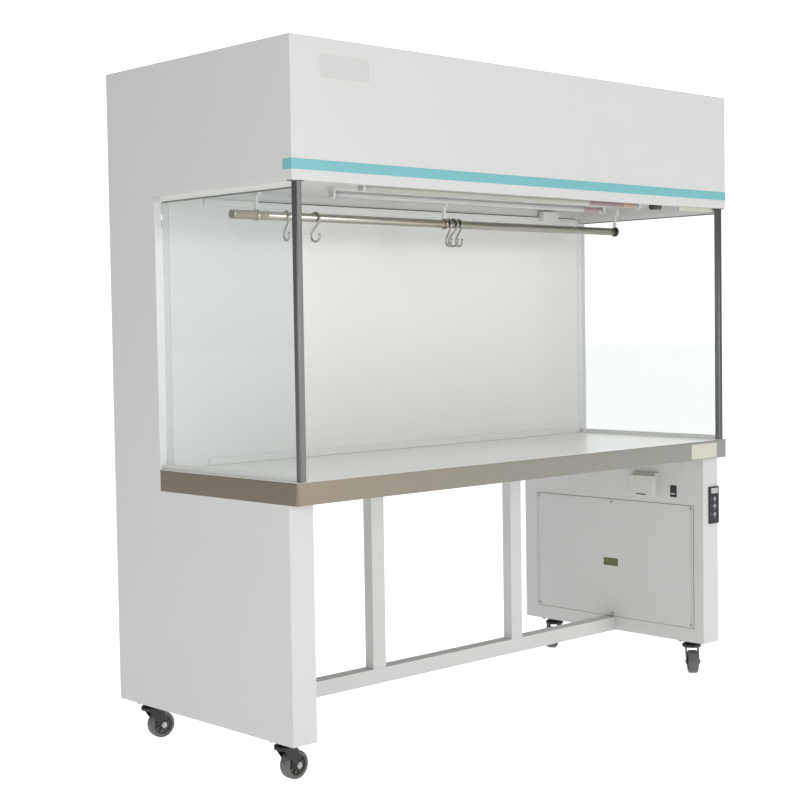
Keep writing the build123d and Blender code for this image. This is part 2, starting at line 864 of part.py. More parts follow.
access_mid = (access_front + access_rear) / 2
screw_places = [
    (y, z)
    for y in (access_front + screw_inset, access_mid, access_rear - screw_inset)
    for z in (access_low + screw_inset, access_high - screw_inset)
]
with BuildPart() as right_pedestal:
    mirror(pedestal.part, about=Plane.YZ)
    # holes in the face towards the knees
    with BuildSketch(Plane.YZ.offset(pedestal_inner)):
        with Locations((access_mid, (access_low + access_high) / 2)):
            Rectangle(
                access_rear - access_front - 2 * access_overlap,
                access_high - access_low - 2 * access_overlap,
            )
        with Locations(*screw_places):
            Circle(screw_shank)
        with Locations((switch_y, switch_z)):
            Rectangle(switch_width - switch_bezel, switch_height - switch_bezel)
        with Locations((socket_y, socket_z)):
            Rectangle(socket_width / 2, socket_height / 2)
    extrude(amount=sheet, mode=Mode.SUBTRACT)
    # wire hole behind the control panel
    with BuildSketch(Plane.XZ.offset(-pedestal_y)):
        with Locations((panel_x, panel_z)):
            Rectangle(panel_width / 2, panel_height / 2)
    extrude(amount=-sheet, mode=Mode.SUBTRACT)
    # hole for the cable gland
    with BuildSketch(Plane.XY.offset(caster_height)):
        with Locations((half_width - caster_side_inset, gland_y)):
            Circle(gland_neck_radius)
    extrude(amount=sheet, mode=Mode.SUBTRACT)
save(right_pedestal.part, "right_pedestal")

for low, name in ((caster_height, "stretcher"), (pedestal_top - frame_tube, "top_rail")):
    with BuildPart() as rail:
        with BuildSketch(Plane.YZ):
            with Locations((pedestal_mid_y, low + frame_tube / 2)):
                Rectangle(frame_tube, frame_tube)
                Rectangle(
                    frame_tube - 2 * frame_wall,
                    frame_tube - 2 * frame_wall,
                    mode=Mode.SUBTRACT,
                )
        extrude(amount=pedestal_inner, both=True)
    save(rail.part, name)

# The uprights stand flush with the front of the rails.
upright_y = pedestal_mid_y - (frame_tube - upright_depth) / 2
with BuildPart() as uprights:
    with BuildSketch(Plane.XY.offset(caster_height + frame_tube)):
        with Locations((upright_offset, upright_y)):
            with GridLocations(upright_spacing, 0, 2, 1):
                Rectangle(upright_width, upright_depth)
                Rectangle(
                    upright_width - 2 * frame_wall,
                    upright_depth - 2 * frame_wall,
                    mode=Mode.SUBTRACT,
                )
    extrude(amount=pedestal_top - caster_height - 2 * frame_tube)
save(uprights.part, "uprights")

# ------------------------------------------------------------------ access panel
with BuildPart() as access_panel:
    with BuildSketch(Plane.YZ.offset(pedestal_inner)):
        with Locations((access_mid, (access_low + access_high) / 2)):
            Rectangle(access_rear - access_front, access_high - access_low)
        with Locations(*screw_places):
            Circle(screw_shank, mode=Mode.SUBTRACT)
    extrude(amount=-access_thickness)
save(access_panel.part, "access_panel")

with BuildPart() as access_screws:
    with BuildSketch(Plane.YZ.offset(pedestal_inner - access_thickness)):
        with Locations(*screw_places):
            Circle(screw_radius)
    extrude(amount=-screw_head)
    with BuildSketch(Plane.YZ.offset(pedestal_inner - access_thickness)):
        with Locations(*screw_places):
            Circle(screw_shank)
    extrude(amount=access_thickness + sheet)
save(access_screws.part, "access_screws")

# ------------------------------------------------------------------ control panel
panel_face = pedestal_y - panel_proud
with BuildPart() as control_panel:
    with BuildSketch(Plane.XZ.offset(-pedestal_y)):
        with Locations((panel_x, panel_z)):
            Rectangle(panel_width, panel_height)
    extrude(amount=panel_proud)
    chamfer(
        control_panel.faces().sort_by(Axis.Y)[0].edges(),
        length=panel_wall / 2,
    )
    with BuildSketch(Plane.XZ.offset(-pedestal_y)):
        with Locations((panel_x, panel_z)):
            Rectangle(panel_width - 2 * panel_wall, panel_height - 2 * panel_wall)
    extrude(amount=panel_proud - panel_wall, mode=Mode.SUBTRACT)
    with BuildSketch(Plane.XZ.offset(-panel_face)):
        with Locations((panel_x, display_z)):
            Rectangle(display_width, display_height)
        for button_z in button_heights:
            with Locations((panel_x, button_z)):
                Circle(button_radius + button_clearance)
    extrude(amount=-panel_wall, mode=Mode.SUBTRACT)
save(control_panel.part, "control_panel")

with BuildPart() as control_display:
    with BuildSketch(Plane.XZ.offset(-panel_face)):
        with Locations((panel_x, display_z)):
            Rectangle(display_width, display_height)
    extrude(amount=-display_thickness)
save(control_display.part, "control_display")

for number, button_z in enumerate(button_heights, start=1):
    with BuildPart() as button:
        with BuildSketch(Plane.XZ.offset(-panel_face + button_proud)):
            with Locations((panel_x, button_z)):
                Circle(button_radius)
        extrude(amount=-(button_proud + panel_wall + button_collar_height))
        with BuildSketch(Plane.XZ.offset(-panel_face - panel_wall)):
            with Locations((panel_x, button_z)):
                Circle(button_radius + button_collar)
        extrude(amount=-button_collar_height)
    save(button.part, f"control_button_{number}")

# ------------------------------------------------------------------ power switch
aperture_width = switch_width - 2 * switch_bezel
aperture_height = switch_height - 2 * switch_bezel
with BuildPart() as switch_housing:
    with BuildSketch(Plane.YZ.offset(pedestal_inner)):
        with Locations((switch_y, switch_z)):
            Rectangle(switch_width, switch_height)
    extrude(amount=-switch_proud)
    with BuildSketch(Plane.YZ.offset(pedestal_inner)):
        with Locations((switch_y, switch_z)):
            Rectangle(switch_width - switch_bezel, switch_height - switch_bezel)
    extrude(amount=switch_depth)
    with BuildSketch(Plane.YZ.offset(pedestal_inner - switch_proud)):
        with Locations((switch_y, switch_z)):
            Rectangle(aperture_width, aperture_height)
    extrude(amount=switch_proud + rocker_depth + rocker_clearance, mode=Mode.SUBTRACT)
    with BuildSketch(Plane.XZ.offset(-switch_y)):
        with Locations((pedestal_inner, switch_z)):
            Circle(rocker_pin_radius + running_clearance)
    extrude(
        amount=aperture_width / 2 + rocker_pin_length + running_clearance,
        both=True,
        mode=Mode.SUBTRACT,
    )
save(switch_housing.part, "switch_housing")

# The rocker's face is a shallow V about its pin; it rests tilted, with its lower half pressed in.
rocker_half = aperture_height / 2 - rocker_clearance
rocker_plane = Plane(
    origin=(pedestal_inner, switch_y, switch_z),
    x_dir=(cos(radians(rocker_tilt)), 0, sin(radians(rocker_tilt))),
    z_dir=(0, -1, 0),
)
with BuildPart() as switch_rocker:
    with BuildSketch(rocker_plane):
        with BuildLine():
            Polyline(
                (-switch_proud, rocker_half),
                (-switch_proud / 2, 0),
                (-switch_proud, -rocker_half),
                (rocker_depth - switch_proud, -rocker_half / 2),
                (rocker_depth - switch_proud, rocker_half / 2),
                close=True,
            )
        make_face()
    extrude(amount=aperture_width / 2 - rocker_clearance / 2, both=True)
    with BuildSketch(rocker_plane):
        Circle(rocker_pin_radius)
    extrude(amount=aperture_width / 2 + rocker_pin_length, both=True)
save(switch_rocker.part, "switch_rocker")

# ------------------------------------------------------------------ socket with its lid
socket_face = pedestal_inner - socket_base_thickness
hinge_x = socket_face - hinge_knuckle_radius - lid_gap
hinge_z = socket_z + socket_height / 2 - hinge_knuckle_radius
lid_top = hinge_z - hinge_knuckle_radius - lid_gap
lid_low = socket_z - socket_height / 2
knuckle_width = socket_width - 2 * hinge_end_width
with BuildPart() as socket_base:
    with BuildSketch(Plane.YZ.offset(pedestal_inner)):
        with Locations((socket_y, socket_z)):
            Rectangle(socket_width, socket_height)
    extrude(amount=-socket_base_thickness)
    # two three-pin outlets
    with BuildSketch(Plane.YZ.offset(socket_face)):
        for outlet_y in (socket_y - outlet_spacing / 2, socket_y + outlet_spacing / 2):
            with Locations((outlet_y, socket_z - outlet_drop)):
                with Locations((0, pin_slot_spread)):
                    Rectangle(pin_slot_width, pin_slot_length)
                for side in (-1, 1):
                    with Locations((side * pin_slot_spread, -pin_slot_spread / 2)):
                        Rectangle(
                            pin_slot_width, pin_slot_length, rotation=-side * pin_slot_angle
                        )
    extrude(amount=pin_slot_depth, mode=Mode.SUBTRACT)
    # the hinge's end knuckles and its pin
    with BuildSketch(Plane.XZ.offset(-socket_y)):
        with Locations((hinge_x, hinge_z)):
            Circle(hinge_knuckle_radius)
            Rectangle(
                socket_face - hinge_x,
                2 * hinge_knuckle_radius,
                align=(Align.MIN, Align.CENTER),
            )
    extrude(amount=socket_width / 2, both=True)
    with BuildSketch(Plane.XZ.offset(-socket_y)):
        with Locations((hinge_x - hinge_knuckle_radius, hinge_z)):
            Rectangle(
                socket_face - hinge_x + hinge_knuckle_radius,
                2 * hinge_knuckle_radius,
                align=(Align.MIN, Align.CENTER),
            )
    extrude(amount=knuckle_width / 2, both=True, mode=Mode.SUBTRACT)
    with BuildSketch(Plane.XZ.offset(-socket_y)):
        with Locations((hinge_x, hinge_z)):
            Circle(hinge_pin_radius)
    extrude(amount=knuckle_width / 2, both=True)
save(socket_base.part, "socket_base")

lid_back = socket_face - lid_gap
with BuildPart() as socket_lid:
    with BuildSketch(Plane.YZ.offset(lid_back)):
        with Locations((socket_y, (lid_low + lid_top) / 2)):
            Rectangle(socket_width, lid_top - lid_low)
    extrude(amount=-lid_depth)
    fillet(
        socket_lid.faces().sort_by(Axis.X)[0].edges(),
        radius=lid_edge_radius,
    )
    offset(amount=-lid_wall, openings=socket_lid.faces().sort_by(Axis.X)[-1])
    with BuildSketch(Plane.YZ.offset(lid_back)):
        with Locations((socket_y, lid_low)):
            Rectangle(lid_notch_width, 2 * lid_notch_height)
    extrude(amount=-(lid_depth - lid_wall) / 2, mode=Mode.SUBTRACT)
    # the middle knuckle and its web
    with BuildSketch(Plane.XZ.offset(-socket_y)):
        with Locations((hinge_x, hinge_z)):
            Circle(hinge_knuckle_radius)
            Rectangle(
                2 * hinge_knuckle_radius,
                hinge_z - lid_top + lid_wall,
                align=(Align.CENTER, Align.MAX),
            )
            Circle(hinge_pin_radius + running_clearance, mode=Mode.SUBTRACT)
    extrude(amount=knuckle_width / 2 - lid_gap, both=True)
save(socket_lid.part, "socket_lid")

# ------------------------------------------------------------------ inside the right pedestal
with BuildPart() as fan_controller:
    with BuildSketch(Plane.YZ.offset(inner_x)):
        with Locations((controller_y, controller_z)):
            Rectangle(controller_size[1], controller_size[2])
    extrude(amount=-controller_size[0])
save(fan_controller.part, "fan_controller")

gland_x = half_width - caster_side_inset
with BuildPart() as cable_gland:
    with BuildSketch(Plane.XY.offset(caster_height)):
        with Locations((gland_x, gland_y)):
            RegularPolygon(gland_radius, 6)
    extrude(amount=-gland_drop)
    with BuildSketch(Plane.XY.offset(caster_height)):
        with Locations((gland_x, gland_y)):
            Circle(gland_neck_radius)
    extrude(amount=sheet)
    with BuildSketch(Plane.XY.offset(caster_height + sheet)):
        with Locations((gland_x, gland_y)):
            RegularPolygon(gland_radius, 6)
    extrude(amount=gland_nut_height)
save(cable_gland.part, "cable_gland")

# ------------------------------------------------------------------ casters
crown_top = caster_height - crown_drop
crown_low = crown_top - crown_thickness
plate_low = caster_height - plate_thickness
with BuildPart() as caster_plates:
    with BuildSketch(Plane.XY.offset(caster_height)):
        for place in caster_places:
            with Locations(place):
                Rectangle(plate_size, plate_size)
                with GridLocations(caster_bolt_pitch, caster_bolt_pitch, 2, 2):
                    Circle(caster_bolt_shank, mode=Mode.SUBTRACT)
    extrude(amount=-plate_thickness)
    with BuildSketch(Plane.XY.offset(plate_low)):
        with Locations(*caster_places):
            Circle(race_radius)
    extrude(amount=-(plate_low - crown_top - swivel_gap))
    with BuildSketch(Plane.XY.offset(plate_low)):
        with Locations(*caster_places):
            Circle(kingpin_radius)
    extrude(amount=-(plate_low - crown_low + swivel_gap))
    with BuildSketch(Plane.XY.offset(crown_low - swivel_gap)):
        with Locations(*caster_places):
            RegularPolygon(kingpin_nut_radius, 6)
    extrude(amount=-kingpin_nut_height)
save(caster_plates.part, "caster_plates")

with BuildPart() as caster_bolts:
    with BuildSketch(Plane.XY.offset(plate_low)):
        for place in caster_places:
            with Locations(place):
                with GridLocations(caster_bolt_pitch, caster_bolt_pitch, 2, 2):
                    RegularPolygon(caster_bolt_radius, 6)
    extrude(amount=-caster_bolt_head)
    with BuildSketch(Plane.XY.offset(plate_low)):
        for place in caster_places:
            with Locations(place):
                with GridLocations(caster_bolt_pitch, caster_bolt_pitch, 2, 2):
                    Circle(caster_bolt_shank)
    extrude(amount=plate_thickness + sheet)
save(caster_bolts.part, "caster_bolts")

leg_inner = hub_width / 2 + fork_gap
leg_outer = leg_inner + fork_leg
for (name, _, _, trail_angle), (caster_x, caster_y) in zip(casters, caster_places):
    along = Vector(cos(radians(trail_angle)), sin(radians(trail_angle)), 0)
    across = Vector(along.Y, -along.X, 0)
    # local x runs along the trail, local y is up, and the plane's normal is the wheel's axle
    rolling = Plane(origin=(caster_x, caster_y, 0), x_dir=along, z_dir=across)
    with BuildPart() as fork:
        # the crown is a cap with a skirt that shields the ball race
        with BuildSketch(Plane.XY.offset(crown_top)):
            with Locations((caster_x, caster_y)):
                Circle(crown_radius)
        extrude(amount=-crown_skirt)
        with BuildSketch(Plane.XY.offset(crown_low)):
            with Locations((caster_x, caster_y)):
                Circle(crown_radius - fork_leg)
        extrude(amount=-crown_skirt, mode=Mode.SUBTRACT)
        for leg in (-1, 1):
            with BuildSketch(rolling.offset(leg * leg_inner)):
                with Locations((caster_trail, wheel_radius)):
                    Circle(hub_radius)
                with Locations((fork_shoulder, crown_top)):
                    Rectangle(
                        2 * fork_leg_half,
                        fork_shoulder_drop,
                        align=(Align.CENTER, Align.MAX),
                    )
                make_hull()
            extrude(amount=leg * fork_leg)
        with BuildSketch(Plane.XY.offset(crown_top)):
            with Locations((caster_x, caster_y)):
                Circle(kingpin_radius + kingpin_clearance)
        extrude(amount=-crown_thickness, mode=Mode.SUBTRACT)
        with BuildSketch(rolling):
            with Locations((caster_trail, wheel_radius)):
                Circle(axle_radius)
        extrude(amount=leg_outer, both=True)
        for leg in (-1, 1):
            with BuildSketch(rolling.offset(leg * leg_outer)):
                with Locations((caster_trail, wheel_radius)):
                    RegularPolygon(axle_head_radius, 6)
            extrude(amount=leg * axle_head_height)
    save(fork.part, f"caster_{name}_fork")

    with BuildPart() as wheel:
        with BuildSketch(rolling):
            with Locations((caster_trail, wheel_radius)):
                Circle(wheel_radius)
        extrude(amount=wheel_width / 2, both=True)
        chamfer(
            wheel.edges().filter_by(GeomType.CIRCLE),
            length=wheel_chamfer,
        )
        for face in (-1, 1):
            with BuildSketch(rolling.offset(face * wheel_width / 2)):
                with Locations((caster_trail, wheel_radius)):
                    Circle(wheel_recess_radius)
            extrude(amount=-face * wheel_recess, mode=Mode.SUBTRACT)
        with BuildSketch(rolling):
            with Locations((caster_trail, wheel_radius)):
                Circle(hub_radius)
        extrude(amount=hub_width / 2, both=True)
        with BuildSketch(rolling):
            with Locations((caster_trail, wheel_radius)):
                Circle(axle_radius + axle_clearance)
        extrude(amount=hub_width, both=True, mode=Mode.SUBTRACT)
    save(wheel.part, f"caster_{name}_wheel")
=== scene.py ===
# %% [markdown]
# # A horizontal laminar flow clean bench
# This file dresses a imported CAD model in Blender. The CAD model is the frame: every node is already in
# its place, in metres, with +X to the user's right, +Y to the rear and +Z up. Most pieces of a bench
# are folded sheet steel, so most of the work is paint, steel and glass, plus the small things
# that a plain solid leaves out.

# %% Load the frame
from math import asin, cos, degrees, pi, radians, sin

import bmesh
import bpy
from mathutils import Matrix, Vector
from mathutils.geometry import convex_hull_2d, tessellate_polygon


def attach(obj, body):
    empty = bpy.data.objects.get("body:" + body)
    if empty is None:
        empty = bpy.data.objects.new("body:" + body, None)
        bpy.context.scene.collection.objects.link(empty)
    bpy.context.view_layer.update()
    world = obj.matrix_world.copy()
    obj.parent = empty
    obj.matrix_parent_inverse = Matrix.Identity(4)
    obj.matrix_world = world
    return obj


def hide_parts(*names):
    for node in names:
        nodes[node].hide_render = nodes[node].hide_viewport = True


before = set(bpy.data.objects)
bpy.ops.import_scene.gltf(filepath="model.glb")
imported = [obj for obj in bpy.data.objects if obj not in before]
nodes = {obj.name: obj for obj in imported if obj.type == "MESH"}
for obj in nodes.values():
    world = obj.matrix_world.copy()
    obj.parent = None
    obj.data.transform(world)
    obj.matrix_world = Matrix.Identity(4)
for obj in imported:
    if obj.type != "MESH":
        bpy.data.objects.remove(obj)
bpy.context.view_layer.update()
MM = 0.001
SMOOTH_BELOW = radians(35)
print("CAD nodes:", len(nodes))

# %% [markdown]
# ## Colours and nodes
# A paint chart gives colours as sRGB hex values, while Blender's shaders work in linear light. One
# function turns the first into the second, so every colour below can be read off a chart.


# %% Two helpers that every material uses
def linear(hex_colour):
    """An sRGB hex colour as linear red, green, blue and alpha."""
    channels = [int(hex_colour[i : i + 2], 16) / 255 for i in (1, 3, 5)]
    return [c / 12.92 if c <= 0.04045 else ((c + 0.055) / 1.055) ** 2.4 for c in channels] + [1.0]


def add_node(tree, kind, settings=(), **inputs):
    """Adds a shader node: its settings, then its inputs, each a value or another node's output."""
    node = tree.nodes.new(kind)
    for name, value in dict(settings).items():
        setattr(node, name, value)
    for name, value in inputs.items():
        socket = node.inputs[name.replace("_", " ")]
        if isinstance(value, bpy.types.NodeSocket):
            tree.links.new(value, socket)
        else:
            socket.default_value = value
    return node


def new_material(name):
    """An empty material with its output, its Principled shader and its position in millimetres."""
    material = bpy.data.materials.new(name)
    material.use_nodes = True
    tree = material.node_tree
    tree.nodes.clear()
    shader = add_node(tree, "ShaderNodeBsdfPrincipled")
    output = add_node(tree, "ShaderNodeOutputMaterial")
    tree.links.new(shader.outputs["BSDF"], output.inputs["Surface"])
    place = add_node(tree, "ShaderNodeTexCoord")
    return material, tree, shader, place.outputs["Object"]


# %% [markdown]
# ## Baked enamel on sheet steel
# The cabinet is steel sheet, sprayed and baked. Up close such paint has orange peel: low bumps about
# 2 mm apart, which soften a reflection a little. Over a large panel the white drifts by a shade,
# because the coat isn't equally thick. Both are noise, one fine for the bump and one wide for the colour.


# %% Enamel
def baked_enamel(name, colour, shade, roughness=0.34, peel=0.06):
    """Sprayed and baked paint: colour drifting to shade, and orange peel 2 mm apart."""
    material, tree, shader, place = new_material(name)
    drift = add_node(tree, "ShaderNodeTexNoise", Vector=place, Scale=2.2, Detail=3.0)
    mix = add_node(
        tree,
        "ShaderNodeMix",
        {"data_type": "RGBA"},
        Factor=drift.outputs["Fac"],
    )
    mix.inputs[6].default_value = linear(colour)
    mix.inputs[7].default_value = linear(shade)
    tree.links.new(mix.outputs[2], shader.inputs["Base Color"])
    shader.inputs["Roughness"].default_value = roughness
    shader.inputs["IOR"].default_value = 1.5
    grain = add_node(tree, "ShaderNodeTexNoise", Vector=place, Scale=1 / (2 * MM), Detail=1.0)
    bump = add_node(
        tree, "ShaderNodeBump", Height=grain.outputs["Fac"], Strength=peel, Distance=0.1 * MM
    )
    tree.links.new(bump.outputs["Normal"], shader.inputs["Normal"])
    return material


white_enamel = baked_enamel("white_enamel", "#DDDEDC", "#D8D9D6")
# The diffuser's white is the cabinet's white made lighter: painted light, for the brighter chamber wall.
lighter_enamel_painted_light = baked_enamel("lighter_enamel_painted_light", "#E5E6E3", "#E0E1DE")
teal_enamel = baked_enamel("teal_enamel", "#80C4C8", "#79BDC2", roughness=0.3)
black_enamel = baked_enamel("black_enamel", "#232221", "#2C2B2A", roughness=0.42)
motor_enamel = baked_enamel("motor_enamel", "#555A5E", "#4C5155", roughness=0.5)

# %% [markdown]
# ## Brushed stainless steel
# The worktop is 1.5 mm stainless sheet with a brushed finish. The belt runs along the sheet, so its
# scratches are long along X and a few tenths of a millimetre apart across. Scratches that fine
# don't show from two metres away, so they are drawn 1.2 mm apart. They vary the roughness and
# lift a faint bump, which stretches every reflection across the grain.


# %% Stainless
def brushed_metal(
    name, colour, grain_mm, roughness, stretch=(0.02, 1.0, 1.0), depth=0.1, metallic=1.0
):
    """Metal with a brushed grain, long along the axis where stretch is small."""
    material, tree, shader, place = new_material(name)
    along = add_node(tree, "ShaderNodeMapping", Vector=place, Scale=stretch)
    grain = add_node(
        tree,
        "ShaderNodeTexNoise",
        Vector=along.outputs["Vector"],
        Scale=1 / (grain_mm * MM),
        Detail=3.0,
    )
    shader.inputs["Base Color"].default_value = linear(colour)
    shader.inputs["Metallic"].default_value = metallic
    spread = add_node(
        tree,
        "ShaderNodeMapRange",
        Value=grain.outputs["Fac"],
        To_Min=roughness - 0.06,
        To_Max=roughness + 0.08,
    )
    tree.links.new(spread.outputs["Result"], shader.inputs["Roughness"])
    bump = add_node(
        tree, "ShaderNodeBump", Height=grain.outputs["Fac"], Strength=depth, Distance=0.1 * MM
    )
    tree.links.new(bump.outputs["Normal"], shader.inputs["Normal"])
    return material


def paint_light_along_x(material, left, right, half_length):
    """Painted light: the base colour changes from one end of the bench to the other, in place of the
    reflected light that changes along it.
    """
    tree = material.node_tree
    shader = next(node for node in tree.nodes if node.type == "BSDF_PRINCIPLED")
    place = next(node for node in tree.nodes if node.type == "TEX_COORD").outputs["Object"]
    axes = add_node(tree, "ShaderNodeSeparateXYZ", Vector=place)
    share = add_node(
        tree,
        "ShaderNodeMapRange",
        Value=axes.outputs["X"],
        From_Min=-half_length * MM,
        From_Max=half_length * MM,
    )
    mix = add_node(tree, "ShaderNodeMix", {"data_type": "RGBA"}, Factor=share.outputs["Result"])
    mix.inputs[6].default_value = linear(left)
    mix.inputs[7].default_value = linear(right)
    tree.links.new(mix.outputs[2], shader.inputs["Base Color"])


# The worktop's top is this steel made near white and mostly matt: a painted reflection of the white wall
# it faces.
stainless = brushed_metal("light_steel_painted_reflection", "#F0F0EC", 1.2, 0.3, metallic=0.3)
# The worktop's edge is a painted reflection: dark warm steel, browner to the left and greyer to the right,
# in place of the room it reflects.
edge_steel_painted_reflection = brushed_metal("edge_steel_painted_reflection", "#938A7C", 1.2, 0.34)
paint_light_along_x(edge_steel_painted_reflection, "#8C8375", "#B3B4AE", 900)
zinc_plate = brushed_metal("zinc_plate", "#B9BCBE", 4.0, 0.42, stretch=(1, 1, 1), depth=0.05)
post_steel = brushed_metal("post_stainless", "#767877", 1.0, 0.33, stretch=(1, 1, 0.02))
filter_aluminium = brushed_metal(
    "anodised_frame", "#D5D8D6", 1.0, 0.4, stretch=(1, 0.02, 1), depth=0.05
)
rod_steel = brushed_metal("rod_stainless", "#A39D90", 0.8, 0.26, stretch=(0.02, 1, 1), depth=0.06)
# The rod is painted lighter to the left and darker to the right: painted reflection along its length.
paint_light_along_x(rod_steel, "#CCC6BB", "#7F7B70", 800)
brass = brushed_metal("brass_plate", "#6D6E56", 1.0, 0.38, stretch=(1, 0.05, 1))
bright_steel = brushed_metal("polished_wire", "#A9A79E", 1.0, 0.24, stretch=(1, 1, 0.2), depth=0.02)

# %% [markdown]
# ## Float glass
# The side panes are 5 mm float glass. It is clear, with the faint blue-green of its iron, which shows
# most where the eye looks through the most of it. A Principled shader with full transmission and
# an IOR of 1.52 gives that, and the reflections.


# %% Glass
def clear_glass(name, colour, roughness=0.0):
    """Clear glass of that tint."""
    material, tree, shader, place = new_material(name)
    smear = add_node(tree, "ShaderNodeTexNoise", Vector=place, Scale=9.0, Detail=4.0)
    dulled = add_node(
        tree,
        "ShaderNodeMapRange",
        Value=smear.outputs["Fac"],
        From_Min=0.45,
        From_Max=0.8,
        To_Min=roughness,
        To_Max=roughness + 0.01,
    )
    tree.links.new(dulled.outputs["Result"], shader.inputs["Roughness"])
    shader.inputs["Base Color"].default_value = linear(colour)
    shader.inputs["Transmission Weight"].default_value = 1.0
    shader.inputs["IOR"].default_value = 1.52
    return material


float_glass = clear_glass("float_glass", "#E9EEED")

# %% [markdown]
# ## Plastics, rubber and filter cloth
# The covers and end caps are moulded ABS: a fine spark texture and a soft gloss. The wheels are a hard
# grey rubber, which scatters light and gathers dust in its pores. The filters are non-woven
# cloth and glass paper, matt and fibrous.


# %% Moulded and woven stuff
def moulded(name, colour, roughness, grain_mm=0.8, depth=0.08, mottling=0.06):
    """A moulded plastic or rubber, with its mould's texture and a slight mottling."""
    material, tree, shader, place = new_material(name)
    cloud = add_node(tree, "ShaderNodeTexNoise", Vector=place, Scale=1 / (40 * MM), Detail=4.0)
    tone = add_node(
        tree,
        "ShaderNodeMapRange",
        Value=cloud.outputs["Fac"],
        To_Min=1 - mottling,
        To_Max=1 + mottling,
    )
    tint = add_node(
        tree,
        "ShaderNodeHueSaturation",
        Value=tone.outputs["Result"],
        Color=linear(colour),
    )
    tree.links.new(tint.outputs["Color"], shader.inputs["Base Color"])
    shader.inputs["Roughness"].default_value = roughness
    shader.inputs["IOR"].default_value = 1.5
    grain = add_node(tree, "ShaderNodeTexNoise", Vector=place, Scale=1 / (grain_mm * MM))
    bump = add_node(
        tree, "ShaderNodeBump", Height=grain.outputs["Fac"], Strength=depth, Distance=0.1 * MM
    )
    tree.links.new(bump.outputs["Normal"], shader.inputs["Normal"])
    return material


white_abs = moulded("white_abs", "#DCDDD6", 0.4)
# Black ABS for the switch and the gland; the same material draws painted shadow strips on the socket lid
# and along the chamber's wall.
black_plastic_and_painted_shadow = moulded("black_plastic_and_painted_shadow", "#1E2022", 0.4)
slate_abs = moulded("slate_abs", "#2B323A", 0.35)
grey_abs = moulded("grey_abs", "#8C9196", 0.5)
button_abs = moulded("button_abs", "#A9ADB1", 0.35)
lcd_window = moulded("lcd_window", "#B4BAB8", 0.12, depth=0.0)
label_film = moulded("label_film", "#D3D0C3", 0.45)
wheel_rubber = moulded("wheel_rubber", "#686662", 0.4, depth=0.2, mottling=0.2)
filter_cloth = moulded("filter_cloth", "#DDE2E4", 0.9, grain_mm=1.5, depth=0.6)
filter_paper = moulded("filter_paper", "#F0F0EA", 0.9, grain_mm=1.0, depth=0.3)
coated_tube = moulded("coated_tube", "#BCBAB1", 0.25, depth=0.0, mottling=0.01)
quartz_tube = moulded("quartz_tube", "#C6C7C6", 0.3, depth=0.0, mottling=0.02)
browned_tube = moulded("browned_tube", "#99827F", 0.2, depth=0.0, mottling=0.1)
rosy_tube = moulded("rosy_tube", "#B08F90", 0.2, depth=0.0, mottling=0.1)
ceramic_cap = moulded("ceramic_cap", "#B59C86", 0.35, depth=0.1, mottling=0.15)
starter_can = moulded("starter_can", "#4B423C", 0.4, depth=0.05)
# Grey rubber for the glazing beads; the same material draws the painted shadow gap round the access panel.
rubber_and_painted_shadow = moulded("rubber_and_painted_shadow", "#6E716B", 0.5)
duct_plastic = moulded("duct_plastic", "#C6C8BB", 0.4)
end_plug = moulded("end_plug", "#6C695C", 0.45)
plate_grey = moulded("painted_plate", "#D2D2D0", 0.4, depth=0.03, mottling=0.01)
sleeve_film = moulded("sleeve_film", "#998C79", 0.35, depth=0.1, mottling=0.15)
slate_film = moulded("panel_film", "#171C24", 0.3, depth=0.02, mottling=0.02)
wheel_nylon = moulded("wheel_nylon", "#575552", 0.3, depth=0.1, mottling=0.08)

# %% [markdown]
# ## Dress the CAD nodes
# Folded sheet never has a knife edge: a press brake leaves a small radius, and the paint rounds it
# further. A bevel modifier gives each hard edge that radius, after a weld, because the packed
# mesh has a separate vertex for each face. Where a node has fine round shapes, it keeps its mesh.

# %% Which finish each node has, and how round its edges are
FINISH = {
    white_enamel: (
        "left_side_panel right_side_panel head_fascia top_cover ceiling_tray rear_panel "
        "filter_wall lamp_battens left_pedestal right_pedestal "
        "access_panel stretcher top_rail uprights"
    ),
    # Painted light: the diffuser and its trim take the lighter copy of the white.
    lighter_enamel_painted_light: "diffuser_panel diffuser_rails glass_channels",
    teal_enamel: "accent_stripe",
    motor_enamel: "blower_motors",
    stainless: "worktop worktop_stiffeners",
    post_steel: "left_front_post right_front_post",
    filter_aluminium: "hepa_frames",
    rod_steel: "hanging_rod",
    bright_steel: "s_hooks",
    zinc_plate: (
        "blower_housings blower_impeller_left blower_impeller_right access_screws"
    ),
    float_glass: "left_glass right_glass",
    coated_tube: "work_lamp_tube",
    quartz_tube: "uv_lamp_tube",
    filter_cloth: "prefilter",
    filter_paper: "hepa_media",
    slate_abs: "control_panel",
    lcd_window: "control_display",
    white_abs: "rod_hangers socket_base socket_lid",
    button_abs: "control_button_1 control_button_2 control_button_3",
    black_plastic_and_painted_shadow: "switch_housing switch_rocker cable_gland",
    starter_can: "lamp_starter",
    end_plug: "rod_end_caps",
    grey_abs: "fan_controller",
    black_enamel: (
        "caster_plates caster_bolts caster_front_left_fork caster_rear_left_fork "
        "caster_front_right_fork caster_rear_right_fork"
    ),
    wheel_rubber: (
        "caster_front_left_wheel caster_rear_left_wheel caster_front_right_wheel "
        "caster_rear_right_wheel"
    ),
}
EDGE_MM = {
    "accent_stripe": 0.3,
    "access_panel": 0.5,
    "ceiling_tray": 0.5,
    "filter_wall": 0,
    "hepa_media": 0,
    "left_glass": 0.8,
    "right_glass": 0.8,
    "glass_channels": 0.3,
    "access_screws": 0.4,
    "control_display": 0.2,
    "switch_rocker": 0.3,
    "s_hooks": 0,
    "hanging_rod": 0.2,
    "caster_plates": 0.5,
    "caster_bolts": 0.4,
}


